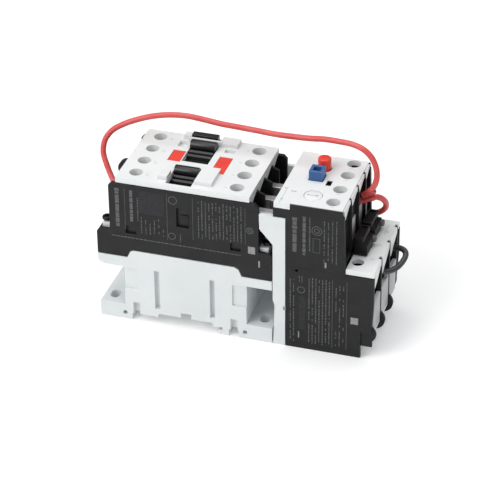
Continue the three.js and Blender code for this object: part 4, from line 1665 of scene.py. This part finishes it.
@dataclass
class Markings:
    """Generic printed marks: dashes, rules, plain rings and panels, with no lettering."""

    seed: int = 7
    lift: float = 0.02
    cover_top: float = 72.5
    motor_top: float = 44.2

    def build(self, bench: Bench) -> None:
        """Prints the near walls and the cover plates."""
        self.near_walls(bench)
        self.cover_marks(bench)

    def near_walls(self, bench: Bench) -> None:
        """Prints the dark near walls."""
        grey, pale, panel = Shape(), Shape(), Shape()
        dice = random.Random(self.seed)
        columns = (
            PrintColumn(8.0, 12.2, 47.5, 67.5, 4.2, 2.1, 3.0, 0.95),
            PrintColumn(14.6, 18.6, 50.6, 68.0, 3.0, 1.6, 2.4, 0.95),
            PrintColumn(19.0, 20.0, 52.0, 64.0, 1.0, 0.5, 0.7, 0.9),
            PrintColumn(20.0, 32.0, 46.0, 54.6, 1.9, 0.45, 1.2, 0.8),
            PrintColumn(46.4, 67.2, 48.2, 67.4, 1.55, 0.5, 1.0, 0.86),
            PrintColumn(38.0, 39.6, 44.5, 49.4, 1.3, 0.4, 0.9, 0.8),
            PrintColumn(88.0, 92.4, 46.0, 67.0, 4.4, 2.2, 3.0, 0.92),
            PrintColumn(93.0, 95.8, 47.0, 67.6, 2.8, 1.5, 1.9, 0.92),
            PrintColumn(96.2, 97.6, 50.0, 67.6, 1.2, 0.6, 0.9, 0.9),
            PrintColumn(102.4, 109.6, 45.0, 67.4, 1.6, 0.45, 1.0, 0.84),
            PrintColumn(87.6, 90.6, 3.0, 36.0, 1.5, 0.45, 1.0, 0.85),
            PrintColumn(91.8, 94.2, 33.0, 37.4, 1.2, 0.45, 1.0, 0.9),
            PrintColumn(96.0, 106.6, 3.0, 37.4, 1.45, 0.5, 1.0, 0.88),
            PrintColumn(108.0, 113.0, 4.0, 36.0, 1.9, 0.45, 1.1, 0.55),
        )
        for column in columns:
            self.dashes(grey, column, dice)
        self.line_of_dashes(grey, 7.0, 66.0, 43.0, dice)
        for x, z0, z1 in ((13.6, 47, 68), (32.9, 45, 68), (44.6, 47, 68), (68.2, 49, 67),
                          (107.2, 3, 38), (113.6, 3, 38)):
            self.rule(grey, x, z0, z1)
        for x, z, r in ((34.9, 47.2, 1.7), (35.6, 65.4, 2.0), (70.3, 56.2, 1.6), (70.3, 56.2, 0.8),
                        (100.0, 61.4, 2.3), (100.0, 61.4, 1.2), (93.2, 30.4, 1.7)):
            self.ring(grey, x, z, r)
        for x in (98.4, 101.4):
            self.rule(grey, x, 50.4, 57.6)
        for z in (50.4, 57.4):
            self.patch(grey, 98.4, 101.4, z, z + 0.2)
        self.patch(panel, 20.0, 31.6, 56.4, 67.6)
        self.patch(panel, 92.2, 94.9, 10.0, 27.0)
        self.patch(pale, 69.4, 72.6, 44.6, 48.2)
        self.patch(pale, 74.0, 74.7, 38.4, 41.6)
        self.patch(pale, 103.6, 104.4, 43.6, 46.2)
        self.patch(pale, 91.9, 92.4, 5.4, 8.6)
        self.patch(pale, 115.4, 118.8, 17.0, 20.4)
        bench.make("wall_print_grey", grey, GREY_INK)
        bench.make("wall_print_pale", pale, PALE_INK)
        bench.make("wall_print_panels", panel, PANEL_INK)

    def dashes(self, shape: Shape, column: PrintColumn, dice: random.Random) -> None:
        """Adds the dashes of some columns.

        Args:
            shape: what they are added to.
            column: where they run and how they look.
            dice: where their lengths come from.
        """
        count = max(1, round((column.x1 - column.x0) / column.pitch))
        step = (column.x1 - column.x0) / count
        for i in range(count):
            x = column.x0 + (i + 0.5) * step
            z = column.z0 + dice.uniform(0, 1.5)
            while z < column.z1 - 0.4:
                run = column.dash * dice.uniform(0.35, 1.5)
                if dice.random() < column.fill:
                    half = column.width / 2 * dice.uniform(0.75, 1.0)
                    self.patch(shape, x - half, x + half, z, min(z + run, column.z1))
                z += run + 0.3 * dice.uniform(0.8, 1.6)

    def line_of_dashes(
        self, shape: Shape, x0: float, x1: float, z: float, dice: random.Random
    ) -> None:
        """Adds one level line of tiny dashes from x0 to x1 at height z."""
        x = x0
        while x < x1:
            run = dice.uniform(0.5, 1.8)
            self.patch(shape, x, min(x + run, x1), z - 0.22, z + 0.22)
            x += run + 0.35

    def rule(self, shape: Shape, x: float, z0: float, z1: float) -> None:
        """Adds a thin upright line at x from z0 to z1."""
        self.patch(shape, x - 0.09, x + 0.09, z0, z1)

    def ring(self, shape: Shape, x: float, z: float, radius: float) -> None:
        """Adds a plain ring round x and z."""
        near = ((radius - 0.3, -self.lift), (radius, -self.lift), (radius, self.lift),
                (radius - 0.3, self.lift))
        shape.turned(near, (x, 0, z), Axis.Y, 40)

    def patch(self, shape: Shape, x0: float, x1: float, z0: float, z1: float) -> None:
        """Adds a thin rectangle of ink on the near walls."""
        shape.block((x0, -self.lift, z0), (x1, self.lift, z1), 0)

    def cover_marks(self, bench: Bench) -> None:
        """Prints the faint dashes beside the terminals on the white plates."""
        ink = Shape()
        top, low_top = self.cover_top, self.motor_top
        for y in POLES:
            self.flat_dash(ink, 21.6, 23.2, y - 1.4, y - 0.9, top)
            self.flat_dash(ink, 21.6, 22.6, y - 0.4, y + 0.1, top)
            self.flat_dash(ink, 57.0, 58.4, y - 1.4, y - 0.9, top)
        for y in AUX_ROWS:
            self.flat_dash(ink, 104.4, 106.2, y - 4.4, y - 3.9, top)
        for x, y in ((121.6, 10.6), (121.8, 22.4), (122.0, 34.0)):
            self.flat_dash(ink, x - 1.2, x + 1.0, y, y + 0.5, low_top)
            self.flat_dash(ink, x - 0.8, x + 1.0, y + 1.0, y + 1.5, low_top)
        for i in range(5):
            self.flat_dash(ink, 119.6, 120.0, 26.8 + 1.8 * i, 27.9 + 1.8 * i, low_top)
            self.flat_dash(ink, 121.2, 121.6, 32.2 + 1.8 * i, 33.3 + 1.8 * i, low_top)
        bench.make("cover_print", ink, MARK_INK)

    def flat_dash(
        self, shape: Shape, x0: float, x1: float, y0: float, y1: float, z: float
    ) -> None:
        """Adds a thin rectangle of ink on a level face at height z."""
        shape.block((x0, y0, z - self.lift), (x1, y1, z + self.lift), 0)


# ------------------------------------------------------------------------------ assembly


def corners(low: Vector, high: Vector) -> list[list[float]]:
    """Two corners of a box as plain lists."""
    return [[float(v) for v in low], [float(v) for v in high]]


def main() -> None:
    """Builds the starter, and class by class."""
    logging.basicConfig(level=logging.INFO, format="%(message)s")
    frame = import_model()
    bench = Bench(frame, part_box("contactor_base")[0])
    Studio().build(bench)
    ControlWires().build(bench)
    screws = (
        ScrewKind("line_screw", 4, ZINC),
        ScrewKind("load_screw", 4, ZINC),
        ScrewKind("aux_screw", 4, ZINC, head_height=2.2),
        ScrewKind("motor_screw", 3, ZINC, head=2.4),
        ScrewKind(
            "coil_screw", 2, BLACK_ZINC, head=2.2, dome=0.4, slot_depth=0.8, head_height=1.4, sink=1.4
        ),
    )
    for part in (
        ContactorShell(),
        AccessoryRail(),
        Magnet(),
        ContactSet(),
        *screws,
        OverloadShell(),
        OverloadControls(),
        Markings(),
    ):
        part.build(bench)
        LOG.info("%s is done", type(part).__name__)


if __name__ == "__main__":
    main()
